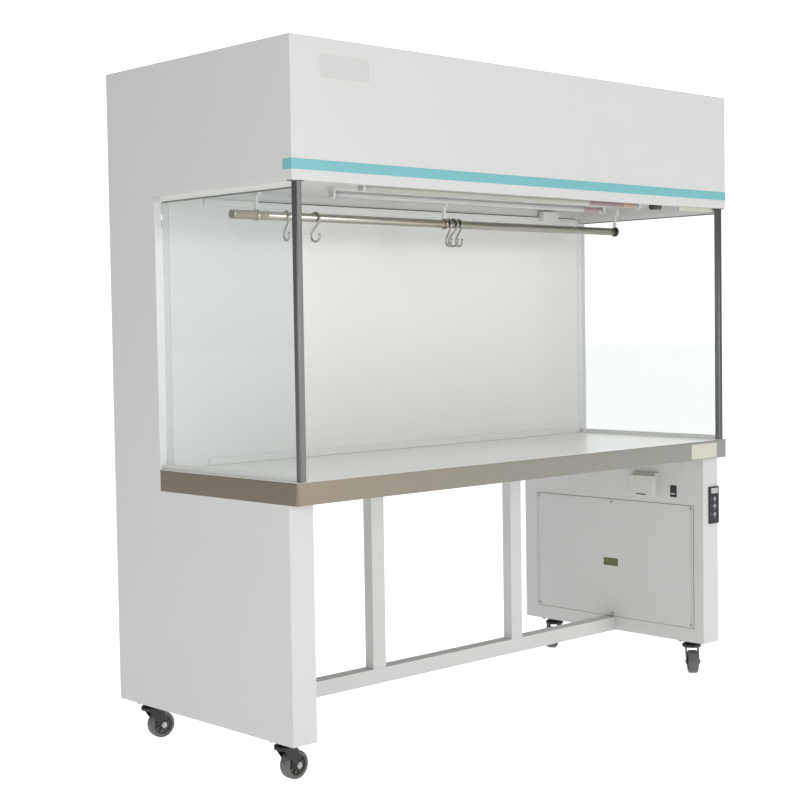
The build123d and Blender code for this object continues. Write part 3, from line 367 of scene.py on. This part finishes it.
def round_edges(piece, edge_mm):
    """A bevel that gives each hard edge a radius, without changing the mesh itself."""
    bevel = piece.modifiers.new("edge", "BEVEL")
    bevel.width = edge_mm * MM
    bevel.segments = 2
    bevel.limit_method = "ANGLE"
    bevel.angle_limit = radians(40)
    bevel.harden_normals = True


finished = set()
for material, names in FINISH.items():
    for name in names.split():
        node = nodes[name]
        node.data.materials.clear()
        node.data.materials.append(material)
        finished.add(name)
        weld = node.modifiers.new("weld", "WELD")
        weld.merge_threshold = 0.01 * MM
        edge = EDGE_MM.get(name, 0.7)
        if edge:
            round_edges(node, edge)
for pane in ("left_glass", "right_glass"):
    nodes[pane].visible_shadow = False
hangers = nodes["rod_hangers"].data
hangers.materials.append(rod_steel)
for polygon in hangers.polygons:
    polygon.material_index = 1 if polygon.center.z < 1474 * MM else 0
# One steel in two colours by face direction: the light top and the dark edges are painted reflection.
worktop = nodes["worktop"].data
worktop.materials.append(edge_steel_painted_reflection)
for polygon in worktop.polygons:
    polygon.material_index = 0 if polygon.normal.z > 0.5 else 1
print("finished nodes:", len(finished), "left plain:", sorted(set(nodes) - finished))

# %% [markdown]
# ## Tools for small pieces
# Lamps, casters, hooks and plates have shapes that flat sheet hasn't: turned, bent and pressed. Each is
# built as a bmesh in millimetres from three kinds of form. A turned form is a profile swept round an
# axis, as on a lathe. A slab is an outline with a thickness, as a laser or a punch cuts it. A wire is a
# circle carried along a path. One function then makes the mesh an object that rides on a CAD body.


# %% Turned forms, slabs and wires
def turned(mesh, profile, centre, axis, segments=40):
    """Sweeps (along, radius) points round an axis through centre; a radius of 0 closes the end."""
    axis = Vector(axis).normalized()
    side = axis.orthogonal().normalized()
    across = axis.cross(side)
    rings = []
    for along, radius in profile:
        middle = Vector(centre) + axis * along
        turns = [2 * pi * i / segments for i in range(segments if radius else 1)]
        rings.append(
            [mesh.verts.new(middle + (side * cos(t) + across * sin(t)) * radius) for t in turns]
        )
    for near, far in zip(rings, rings[1:]):
        for i in range(segments):
            j = (i + 1) % segments
            corners = (near[i % len(near)], near[j % len(near)], far[j % len(far)], far[i % len(far)])
            mesh.faces.new(list(dict.fromkeys(corners)))


def slab(mesh, outline, place, low, high):
    """Gives a flat outline the thickness from low to high along the local z of place."""
    rings = [[mesh.verts.new(place @ Vector((a, b, z))) for a, b in outline] for z in (low, high)]
    mesh.faces.new(rings[0])
    mesh.faces.new(rings[1])
    for i in range(len(outline)):
        j = (i + 1) % len(outline)
        mesh.faces.new((rings[0][i], rings[0][j], rings[1][j], rings[1][i]))


def rounded(width, height, radius, middle=(0, 0), steps=5):
    """The outline of a rectangle with rounded corners."""
    points = []
    for quarter, (sx, sy) in enumerate(((1, 1), (-1, 1), (-1, -1), (1, -1))):
        for step in range(steps + 1):
            turn = radians(90 * (quarter + step / steps))
            points.append(
                (
                    middle[0] + sx * (width / 2 - radius) + radius * cos(turn),
                    middle[1] + sy * (height / 2 - radius) + radius * sin(turn),
                )
            )
    return points


def wire(mesh, points, radius, sides=12):
    """A round wire along the points, with domed ends."""
    path = [Vector(p) for p in points]
    first = (path[1] - path[0]).normalized()
    last = (path[-1] - path[-2]).normalized()
    dome = [(sin(radians(a)), cos(radians(a))) for a in (90, 60, 30)]
    stations = [(path[0] - first * radius * out, radius * size) for out, size in dome]
    stations += [(point, radius) for point in path]
    stations += [(path[-1] + last * radius * out, radius * size) for out, size in reversed(dome)]
    normal = first.orthogonal().normalized()
    rings = []
    for k, (point, size) in enumerate(stations):
        ahead_of = stations[min(k + 1, len(stations) - 1)][0]
        behind = stations[max(k - 1, 0)][0]
        along = (ahead_of - behind).normalized()
        normal = (normal - along * normal.dot(along)).normalized()
        across = along.cross(normal)
        ring = []
        for i in range(sides if size > 1e-6 else 1):
            turn = 2 * pi * i / sides
            ring.append(mesh.verts.new(point + (normal * cos(turn) + across * sin(turn)) * size))
        rings.append(ring)
    for near, far in zip(rings, rings[1:]):
        for i in range(sides):
            j = (i + 1) % sides
            corners = (near[i % len(near)], near[j % len(near)], far[j % len(far)], far[i % len(far)])
            mesh.faces.new(list(dict.fromkeys(corners)))


def make_piece(name, mesh, material, body="cabinet", edge_mm=0.0, instead_of=None):
    """Turns a bmesh in millimetres into a piece that rides on a CAD body."""
    bmesh.ops.remove_doubles(mesh, verts=mesh.verts, dist=0.0005)
    bmesh.ops.recalc_face_normals(mesh, faces=mesh.faces)
    bmesh.ops.scale(mesh, vec=(MM, MM, MM), verts=mesh.verts)
    for face in mesh.faces:
        face.smooth = True
    for line in mesh.edges:
        if len(line.link_faces) == 2 and line.calc_face_angle() > SMOOTH_BELOW:
            line.smooth = False
    data = bpy.data.meshes.new(name)
    mesh.to_mesh(data)
    mesh.free()
    data.materials.append(material)
    piece = bpy.data.objects.new(name, data)
    bpy.context.scene.collection.objects.link(piece)
    if edge_mm:
        round_edges(piece, edge_mm)
    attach(piece, body)
    if instead_of:
        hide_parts(instead_of)
    print(name, "faces:", len(data.polygons))
    return piece


def facing(origin, across, up):
    """The matrix of a plane at origin, whose x is across and whose y is up."""
    x, y = Vector(across).normalized(), Vector(up).normalized()
    turn = Matrix((x, y, x.cross(y))).transposed().to_4x4()
    return Matrix.Translation(origin) @ turn


# %% [markdown]
# ## Bare plates and labels
# A bench carries a nameplate on its head, a small etched plate on the access panel and a label on the
# worktop's edge. Here they are bare: a thin plate with a rounded outline, and a rim as a second, thinner
# slab behind it. Real slabs are used instead of a painted rectangle, because the step round a plate is
# what catches the light.

# %% Plates
front_y, knee_x = -403.5, 818.5
to_front = facing((0, front_y, 0), (1, 0, 0), (0, 0, 1))  # local z points out of the front
to_knees = facing((knee_x, 0, 0), (0, -1, 0), (0, 0, 1))  # local z points to the knees

nameplate = bmesh.new()
slab(nameplate, rounded(165, 59, 1.5, (-721.5, 1796.5)), to_front, 0, 0.7)
make_piece("nameplate_blank", nameplate, plate_grey, edge_mm=0.2)
nameplate_rim = bmesh.new()
slab(nameplate_rim, rounded(170, 64, 2.5, (-721.5, 1796.5)), to_front, 0, 0.4)
make_piece("nameplate_rim", nameplate_rim, white_abs, edge_mm=0.1)

edge_label = bmesh.new()
slab(edge_label, rounded(134, 47, 3, (779, 738)), to_front, 0, 0.3)
make_piece("worktop_edge_label", edge_label, label_film, edge_mm=0.1)

access_plate = bmesh.new()
slab(access_plate, rounded(62, 26, 1.5, (-13, 337.5)), to_knees, 0, 0.9)
make_piece("access_plate", access_plate, brass, edge_mm=0.25)
access_plate_rim = bmesh.new()
slab(access_plate_rim, rounded(69, 33, 2.5, (-13, 337.5)), to_knees, 0, 0.4)
make_piece("access_plate_rim", access_plate_rim, white_abs, edge_mm=0.1)
rivets = bmesh.new()
for across in (15, -41):
    turned(
        rivets,
        [(0.8, 0), (0.8, 1.6), (1.5, 1.4), (1.9, 0.8), (2.0, 0)],
        (knee_x, -across, 337.5),
        (-1, 0, 0),
        16,
    )
make_piece("access_plate_rivets", rivets, bright_steel)

# %% [markdown]
# ## The rod's sleeve and the S-hooks
# The rod is stainless tube, and its left end is still in a tan film sleeve. The hooks are bent from
# 6 mm wire, nickel plated. A wire swept along its true path, an arc, a straight and an
# arc, shows the soft highlight that runs round each bend.

# %% Sleeve
ROD_Y, ROD_Z, ROD_RADIUS = -25.0, 1455.0, 12.0
sleeve = bmesh.new()
turned(
    sleeve,
    [(-790, 12.0), (-790, 12.5), (-676, 12.5), (-676, 12.0)],
    (0, ROD_Y, ROD_Z),
    (1, 0, 0),
    48,
)
make_piece("rod_sleeve", sleeve, sleeve_film)


# %% Hooks
def hook_path(place_x, yaw, bend=16.5, span=48.0, mouth=15.0):
    """An S in the plane turned by yaw: the upper bend hangs on the rod, the lower one is open."""
    top = ROD_Z + ROD_RADIUS + WIRE - bend + 0.1
    lean = degrees(asin(2 * bend / span))
    sweep = 180 + lean + mouth
    flat = []
    for centre, start in ((top, -mouth), (top - span, 180 - mouth)):
        turns = [radians(start + sweep * i / 18) for i in range(19)]
        if start > 0:
            turns.reverse()
        flat += [(bend * cos(t), centre + bend * sin(t)) for t in turns]
    return [
        (place_x + u * sin(radians(yaw)), ROD_Y + u * cos(radians(yaw)), z) for u, z in flat
    ]


WIRE = 3.0
hooks = bmesh.new()
for place_x, yaw in ((-608, 14), (-507, -8), (18, 16), (38, -12), (62, 10)):
    wire(hooks, hook_path(place_x, yaw), WIRE)
make_piece("s_hook_wires", hooks, bright_steel, instead_of="s_hooks")

# %% [markdown]
# ## Lamps
# Each tube ends in an aluminium cap with two brass pins, which turn in a white holder. Towards the caps
# the glass is browned from inside, because metal from the electrodes settles there. The caps are turned
# forms over the tube's ends, and the browning is a sleeve of its own with a warm tint.

# %% Lamp ends
LAMP_Z = 1515.0
lamps = (("work", 0.0, -300.0), ("uv", 70.0, -100.0))
tube_half = 574.5
caps, holders = bmesh.new(), bmesh.new()
for _, lamp_x, lamp_y in lamps:
    for side in (-1, 1):
        foot = (lamp_x + side * tube_half, lamp_y, LAMP_Z)
        inwards = (-side, 0, 0)
        turned(
            caps,
            [(-0.5, 0), (-0.5, 7.2), (0.3, 8.3), (14, 8.5), (15, 8.3), (15, 7.8)],
            foot,
            inwards,
            32,
        )
        turned(
            holders,
            [(-8, 0), (-8, 10.5), (-6.8, 11.7), (-1.5, 11.7), (-0.5, 10.5), (-0.5, 9.3), (-3, 9.3)],
            foot,
            inwards,
            32,
        )
make_piece("lamp_caps", caps, zinc_plate)
make_piece("lamp_holders", holders, white_abs)


def tube_sleeve(name, lamp_y, start, end, material):
    """A thin coat on a tube between two places along X."""
    coat = bmesh.new()
    turned(
        coat,
        [(start, 8.02), (start, 8.12), (end, 8.12), (end, 8.02)],
        (0, lamp_y, LAMP_Z),
        (1, 0, 0),
        32,
    )
    make_piece(name, coat, material)


tube_sleeve("work_lamp_browning", -300.0, 340, 503, browned_tube)
tube_sleeve("work_lamp_ceramic", -300.0, 503, 560, ceramic_cap)
tube_sleeve("uv_lamp_browning", -100.0, 553, 630, rosy_tube)

# %% [markdown]
# ## Casters
# A 75 mm caster is a soft grey tyre on a nylon core, between the legs of a pressed and painted fork.
# The core has a hub, a thin web and eight ribs. The fork's crown is a bell that shields the ball race,
# and an axle bolt with washers holds it all. Each part is its own piece, so that the swivel and the roll
# move the right ones. The legs are a hull round the axle's boss and the crown's shoulder, as the
# press tool makes them.


# %% A caster's wheel
def wheel_tyre(mesh, centre, axle):
    """The tyre: a crowned tread with round shoulders, and a lip down to the core."""
    half = [(0, 37.5), (7, 37.45), (11, 37.1), (13.6, 36), (15.3, 34), (16, 31.4), (16, 28.6)]
    half += [(15.4, 27.4), (14, 26.8), (11, 26.8)]
    profile = [(-s, r) for s, r in reversed(half)] + half[1:] + [(-11, 26.8)]
    turned(mesh, profile, centre, axle, 56)


def wheel_core(mesh, centre, axle, along):
    """The core: hub, web, rim and eight ribs on each face."""
    half = [(18, 4.1), (18, 9.6), (17.2, 10.8), (11, 11.4), (9, 13), (8.6, 15), (8.6, 22)]
    half += [(9.4, 24), (12.6, 24.8), (14.2, 25.4), (14.4, 26.2), (13.6, 26.9), (0, 26.9)]
    profile = half + [(-s, r) for s, r in reversed(half)] + [half[0]]
    turned(mesh, profile, centre, axle, 48)
    up = Vector(axle).cross(along)
    for i in range(8):
        turn = radians(22.5 + 45 * i)
        outward = Vector(along) * cos(turn) + up * sin(turn)
        rib = facing(centre, outward, axle)
        for face in (-1, 1):
            outline = [(10.5, 8 * face), (25, 8 * face), (25, 13 * face), (10.5, 15.5 * face)]
            slab(mesh, outline, rib, -1.2, 1.2)


# %% A caster's fork and axle
def fork_bell(mesh, centre):
    """The crown: a bell with a rolled shoulder, and a hole for the kingpin."""
    outer = [(94, 6.05), (94, 21), (93.4, 23.5), (93.4, 25.5), (93, 28), (91.8, 30), (90, 30.9)]
    inner = [(88, 31), (83.4, 31), (82.2, 30.4), (82.2, 29), (83, 28.5), (88, 28.5), (91, 26)]
    turned(mesh, outer + inner + [(91, 6.05), (94, 6.05)], centre, (0, 0, 1), 56)


def fork_legs(mesh, centre, along, axle):
    """Two pressed legs, each with a boss round the axle."""
    boss = [(26 + 11 * cos(radians(a)), 37.5 + 11 * sin(radians(a))) for a in range(0, 360, 12)]
    shoulder = [(-19, 83), (-18.6, 87), (-15, 90.8), (19, 90.8), (22.6, 87), (23, 83)]
    points = boss + shoulder
    outline = [points[i] for i in convex_hull_2d(points)]
    place = facing(centre, along, (0, 0, 1))
    for side in (-1, 1):
        slab(mesh, outline, place, side * 18.3, side * 20.8)
        step = [(20.8, 9.8), (21.5, 9.2), (21.5, 4.2)]
        hub = Vector(centre) + Vector(along) * 26 + Vector((0, 0, 37.5))
        turned(mesh, step, hub, Vector(axle) * side, 32)


def axle_bolt(mesh, hub, axle):
    """Hex head and washer at one end, nut and thread at the other."""
    axle = Vector(axle)
    for side in (-1, 1):
        outward = axle * side
        turned(mesh, [(21.5, 4), (21.5, 8.4), (22.4, 8.4), (22.4, 4)], hub, outward, 32)
        turned(mesh, [(22.4, 0), (22.4, 7.2), (24.2, 7.2), (24.8, 6.4), (24.8, 0)], hub, outward, 6)
    turned(mesh, [(24.8, 0), (24.8, 3.6), (24.85, 3.6), (24.95, 0)], hub, axle, 20)
    turned(mesh, [(-21, 3.95), (21, 3.95)], hub, axle, 24)


# %% The four casters
SWIVELS = {
    "front_left": (-860, -290, 1),
    "rear_left": (-860, 306, -8),
    "front_right": (860, -290, 224),
    "rear_right": (860, 306, 200),
}
for corner, (x, y, heading) in SWIVELS.items():
    swivel = Vector((x, y, 0))
    along = Vector((cos(radians(heading)), sin(radians(heading)), 0))
    axle = Vector((along.y, -along.x, 0))
    hub = swivel + along * 26 + Vector((0, 0, 37.5))
    fork_body, wheel_body = f"caster_{corner}_fork", f"caster_{corner}_wheel"
    fork = bmesh.new()
    fork_bell(fork, swivel)
    fork_legs(fork, swivel, along, axle)
    make_piece(f"{corner}_fork_pressing", fork, black_enamel, fork_body, 0.6, fork_body)
    bolt = bmesh.new()
    axle_bolt(bolt, hub, axle)
    make_piece(f"{corner}_axle_bolt", bolt, zinc_plate, fork_body, 0.3)
    core = bmesh.new()
    wheel_core(core, hub, axle, along)
    make_piece(f"{corner}_wheel_core", core, wheel_nylon, wheel_body, 0.4, wheel_body)
    tyre = bmesh.new()
    wheel_tyre(tyre, hub, axle)
    make_piece(f"{corner}_tyre", tyre, wheel_rubber, wheel_body)

# %% [markdown]
# ## Controls
# The control panel is a dark moulding with a film over its front: a pale window on top and three
# buttons under it. The rocker has the two marks that every power switch has, a bar and a ring. Such marks
# are printed, so they are slabs a tenth of a millimetre thick.

# %% Panel film, button rings and marks
panel_face = facing((873, -375.5, 555), (1, 0, 0), (0, 0, 1))
film = bmesh.new()
slab(film, rounded(45, 115, 3), panel_face, 0, 0.15)
make_piece("panel_film", film, slate_film, edge_mm=0.05)
rings, marks = bmesh.new(), bmesh.new()
for button_z in (576, 553, 526):
    turned(
        rings,
        [(0.1, 4.8), (0.7, 4.9), (0.9, 5.5), (0.7, 6.3), (0.1, 6.5)],
        (873, -375.5, button_z),
        (0, -1, 0),
        32,
    )
    slab(marks, rounded(8, 1.2, 0.5, (0, button_z - 555 - 10.5)), panel_face, 0.14, 0.22)
slab(marks, rounded(2.4, 2.4, 1.19, (-15.5, 21)), panel_face, 0.14, 0.3)
slab(marks, rounded(2.4, 2.4, 1.19, (-15.5, -2)), panel_face, 0.14, 0.3)
slab(marks, rounded(2.4, 2.4, 1.19, (-15.5, -29)), panel_face, 0.14, 0.3)
window_rim = rounded(35, 16, 1.5, (0, 47))
slab(marks, window_rim, panel_face, 0.14, 0.2)
make_piece("panel_marks", marks, white_abs)
make_piece("button_rings", rings, zinc_plate)
lcd = bmesh.new()
slab(lcd, rounded(31, 12, 1, (0, 47)), panel_face, 0.18, 0.5)
make_piece("display_pane", lcd, lcd_window, edge_mm=0.15)

# %% Rocker marks
tilt = radians(8)
rocker = facing((820, -251, 596), (0, -1, 0), (sin(tilt), 0, cos(tilt)))
marks = bmesh.new()
slab(marks, rounded(15, 4.2, 0.5, (0, -8.5)), rocker, 1.3, 1.75)
turned(
    marks,
    [(1.3, 2.0), (1.75, 2.0), (1.75, 3.1), (1.3, 3.1)],
    rocker @ Vector((0, 7.5, 0)),
    rocker.to_3x3() @ Vector((0, 0, 1)),
    24,
)
make_piece("rocker_marks", marks, white_abs, "switch_rocker")

# %% The painted shadow in the lid's finger notch
# A dark strip at the lid's lower edge is a painted shadow in the finger notch.
notch_shadow = bmesh.new()
slab(notch_shadow, rounded(40, 3.6, 1, (141, 581.8)), to_knees, 28.8, 29.5)
make_piece("socket_lid_notch_shadow", notch_shadow, black_plastic_and_painted_shadow, "socket_lid", edge_mm=0.2)

# %% [markdown]
# ## Screws, gland and the last trim
# The access panel is held by six pan-head screws, each with a cross recess and a washer. A cross recess
# could be cut with a boolean, but a slab with a cross-shaped hole needs no cutter: the rim and the
# floor of the recess are two faces. The cable gland under the right pedestal has a hexagon and a
# domed nut. A thin dark strip at the top of the chamber's wall is a painted shadow line along the rail.


# %% Pan-head screws
def cross_head_screw(mesh, place, radius=5.0, height=2.2, recess=1.2, arm=2.7, slot=0.55):
    """A domed head standing along local z, with a cross recess in its top."""
    rim = [(radius * 0.78 * cos(2 * pi * i / 32), radius * 0.78 * sin(2 * pi * i / 32)) for i in range(32)]
    cross = [(slot, slot), (slot, arm), (-slot, arm), (-slot, slot), (-arm, slot), (-arm, -slot)]
    cross += [(-slot, -slot), (-slot, -arm), (slot, -arm), (slot, -slot), (arm, -slot), (arm, slot)]
    top = [[Vector((a, b, height)) for a, b in loop] for loop in (rim, cross)]
    points = [mesh.verts.new(place @ p) for p in top[0] + top[1]]
    for corners in tessellate_polygon(top):
        mesh.faces.new([points[i] for i in corners])
    floor_points = [mesh.verts.new(place @ Vector((a, b, height - recess))) for a, b in cross]
    mesh.faces.new(floor_points)
    for i in range(12):
        j = (i + 1) % 12
        mesh.faces.new((points[32 + i], points[32 + j], floor_points[j], floor_points[i]))
    turned_z = place.to_3x3() @ Vector((0, 0, 1))
    dome = [(height, 0.78), (height - 0.35, 0.92), (height - 0.9, 0.99), (0.5, 1.0)]
    rings = [(0, 1.15), (0.45, 1.15), (0.5, 1.0)]
    turned(mesh, [(z, r * radius) for z, r in dome], place.translation, turned_z, 32)
    turned(mesh, [(z, r * radius) for z, r in rings], place.translation, turned_z, 32)


screws = bmesh.new()
for y in (-320, 8, 336):
    for z in (161, 543):
        place = facing((knee_x, y, z), (0, -1, 0), (0, 0, 1))
        cross_head_screw(screws, place)
make_piece("access_panel_screws", screws, zinc_plate, instead_of="access_screws")

# %% Painted shadow gap round the panel
# A dark strip 1.5 mm wide is a painted shadow: it draws the shadow gap round the access panel.
SHADOW_GAP_MM, panel_span, panel_mid = 1.5, (674, 400), (-8, 352)
shadow_gap = bmesh.new()
for side in (-1, 1):
    beside = panel_mid[0] + side * (panel_span[0] + SHADOW_GAP_MM) / 2
    beyond = panel_mid[1] + side * (panel_span[1] + SHADOW_GAP_MM) / 2
    upright = rounded(SHADOW_GAP_MM, panel_span[1] + 2 * SHADOW_GAP_MM, 0.3, (beside, panel_mid[1]))
    level = rounded(panel_span[0], SHADOW_GAP_MM, 0.3, (panel_mid[0], beyond))
    slab(shadow_gap, upright, to_knees, -1.45, -0.6)
    slab(shadow_gap, level, to_knees, -1.45, -0.6)
make_piece("access_panel_shadow_gap", shadow_gap, rubber_and_painted_shadow)

# %% Gland, painted shadow line and lamp box
gland = bmesh.new()
turned(gland, [(0, 8), (0, 11), (-7, 11), (-7, 9.2)], (860, 180, 105), (0, 0, 1), 6)
turned(
    gland,
    [(-7, 9.4), (-12, 9.4), (-14.5, 8.2), (-15.8, 6), (-15.8, 4), (-9, 3.6)],
    (860, 180, 105),
    (0, 0, 1),
    32,
)
turned(gland, [(0, 8), (1.5, 8), (1.5, 11), (6.5, 11), (6.5, 6)], (860, 180, 105), (0, 0, 1), 6)
make_piece("gland_nuts", gland, black_plastic_and_painted_shadow, edge_mm=0.4, instead_of="cable_gland")

to_chamber = facing((0, 173.5, 0), (1, 0, 0), (0, 0, 1))
# A thin dark strip along the top of the chamber's wall is a painted shadow line, broken where the junction
# box sits.
shadow_line = bmesh.new()
slab(shadow_line, rounded(1196, 2.4, 0.6, (48, 1510.6)), to_chamber, 0, 1.0)
slab(shadow_line, rounded(108, 2.4, 0.6, (784, 1510.6)), to_chamber, 0, 1.0)
make_piece("rail_shadow_line", shadow_line, black_plastic_and_painted_shadow)

junction = bmesh.new()
slab(junction, rounded(76, 32, 2, (690, 1513)), to_chamber, 0, 20)
# The box takes the lighter copy of the white: painted light.
make_piece("junction_box", junction, lighter_enamel_painted_light, edge_mm=1.0)

duct = bmesh.new()
slab(duct, rounded(180, 12, 1, (776, 1506)), facing((0, -372, 0), (1, 0, 0), (0, 0, 1)), 0, 9)
make_piece("wiring_duct", duct, duct_plastic, edge_mm=0.5)

beads = bmesh.new()
for side in (-1, 1):
    place = facing((side * 876, -106, 1495.5), (1, 0, 0), (0, 1, 0))
    slab(beads, rounded(14.2, 556, 0.5), place, -1.2, 1.2)
make_piece("glazing_beads", beads, rubber_and_painted_shadow)

brackets = bmesh.new()
for hanger_x in (-711, 0, 808):
    place = facing((hanger_x, ROD_Y, 1535), (1, 0, 0), (0, 1, 0))
    slab(brackets, rounded(22, 34, 2), place, -3, 0)
    slab(brackets, rounded(15, 29, 2), place, -28, -3)
make_piece("hanger_brackets", brackets, white_abs, edge_mm=0.6)

plates = bmesh.new()
for side in (-1, 1):
    place = facing((side * 878, -391, 1512), (1, 0, 0), (0, 1, 0))
    slab(plates, rounded(38, 22, 1), place, -2.2, 0)
make_piece("post_top_plates", plates, post_steel, edge_mm=0.3)

# %% [markdown]
# ## The studio
# A white room: a sky dome, which is also the backdrop, a floor of the same white, a large soft light from
# the front right and another overhead. The camera sees the dome at full white, while the bench is lit
# by a weaker one, as if the backdrop had a light of its own: that keeps the backdrop clean and
# the paint below clipping.

# %% Floor and lights
def seen_plainly(tree):
    """1 for a ray from the camera, straight or through glass, and 0 for light on a surface."""
    path = add_node(tree, "ShaderNodeLightPath")
    undimmed = add_node(tree, "ShaderNodeMath", {"operation": "LESS_THAN"})
    tree.links.new(path.outputs["Diffuse Depth"], undimmed.inputs[0])
    undimmed.inputs[1].default_value = 0.5
    either = add_node(tree, "ShaderNodeMath", {"operation": "MULTIPLY_ADD"})
    tree.links.new(path.outputs["Is Transmission Ray"], either.inputs[0])
    tree.links.new(undimmed.outputs["Value"], either.inputs[1])
    tree.links.new(path.outputs["Is Camera Ray"], either.inputs[2])
    return either.outputs["Value"]


REACH = 60.0
floor_mesh = bpy.data.meshes.new("studio_floor")
floor_mesh.from_pydata(
    [(-REACH, -REACH, 0), (REACH, -REACH, 0), (REACH, REACH, 0), (-REACH, REACH, 0)],
    [],
    [(0, 1, 2, 3)],
)
floor = bpy.data.objects.new("studio_floor", floor_mesh)
bpy.context.scene.collection.objects.link(floor)
floor_paint, _, floor_shader, _ = new_material("floor_paint")
floor_shader.inputs["Base Color"].default_value = linear("#FFFFFF")
floor_shader.inputs["Roughness"].default_value = 1.0
floor_shader.inputs["Specular IOR Level"].default_value = 0.0
floor_shader.inputs["Emission Color"].default_value = (1, 1, 1, 1)
glow = add_node(
    floor_paint.node_tree,
    "ShaderNodeMapRange",
    Value=seen_plainly(floor_paint.node_tree),
    To_Min=0.42,
    To_Max=0.9,
)
floor_paint.node_tree.links.new(glow.outputs["Result"], floor_shader.inputs["Emission Strength"])
floor_mesh.materials.append(floor_paint)

world = bpy.data.worlds.new("studio")
world.use_nodes = True
bpy.context.scene.world = world
sky = world.node_tree.nodes["Background"]
level = add_node(
    world.node_tree,
    "ShaderNodeMapRange",
    Value=seen_plainly(world.node_tree),
    To_Min=0.3,
    To_Max=1.45,
)
sky.inputs["Color"].default_value = (1, 1, 1, 1)
world.node_tree.links.new(level.outputs["Result"], sky.inputs["Strength"])


def soft_light(name, place, target, size, power):
    """A square area light at place, facing target."""
    lamp = bpy.data.lights.new(name, "AREA")
    lamp.size = size
    lamp.energy = power
    light = bpy.data.objects.new(name, lamp)
    light.location = place
    light.rotation_euler = (Vector(target) - Vector(place)).to_track_quat("-Z", "Y").to_euler()
    bpy.context.scene.collection.objects.link(light)
    return light


soft_light("key", (1.8, -7.0, 1.7), (0, 0, 1.1), 3.0, 145)
soft_light("fill", (-3.6, -2.0, 1.5), (-0.6, -0.2, 1.0), 1.5, 22)
soft_light("overhead", (0.0, 0.0, 6.0), (0, 0, 0), 6.0, 120)
glow = soft_light("chamber_glow", (0.0, -0.24, 1.49), (0, -0.1, 0.77), 1.6, 1.1)
glow.data.shape = "RECTANGLE"
glow.data.size_y = 0.05
glow.visible_camera = False
glow.visible_glossy = False

# %% [markdown]
# ## The camera
# It stands in front of the bench's left corner, at chest height, with a slightly long lens.


# %% Camera
LENS_MM = 70.47
camera = bpy.data.objects.new("camera", bpy.data.cameras.new("camera"))
camera.data.lens = LENS_MM
camera.data.clip_end = 200
bpy.context.scene.collection.objects.link(camera)
yaw, pitch, roll = radians(43.271), radians(-2.732), radians(-0.869)
ahead = Vector((sin(yaw) * cos(pitch), cos(yaw) * cos(pitch), sin(pitch)))
level = Vector((cos(yaw), -sin(yaw), 0))
above = level.cross(ahead)
right = level * cos(roll) + above * sin(roll)
up = above * cos(roll) - level * sin(roll)
camera.matrix_world = Matrix.Translation((-3.3382, -3.3655, 1.1534)) @ Matrix(
    (right, up, -ahead)
).transposed().to_4x4()
bpy.context.scene.camera = camera
bpy.context.scene.view_settings.view_transform = "Standard"
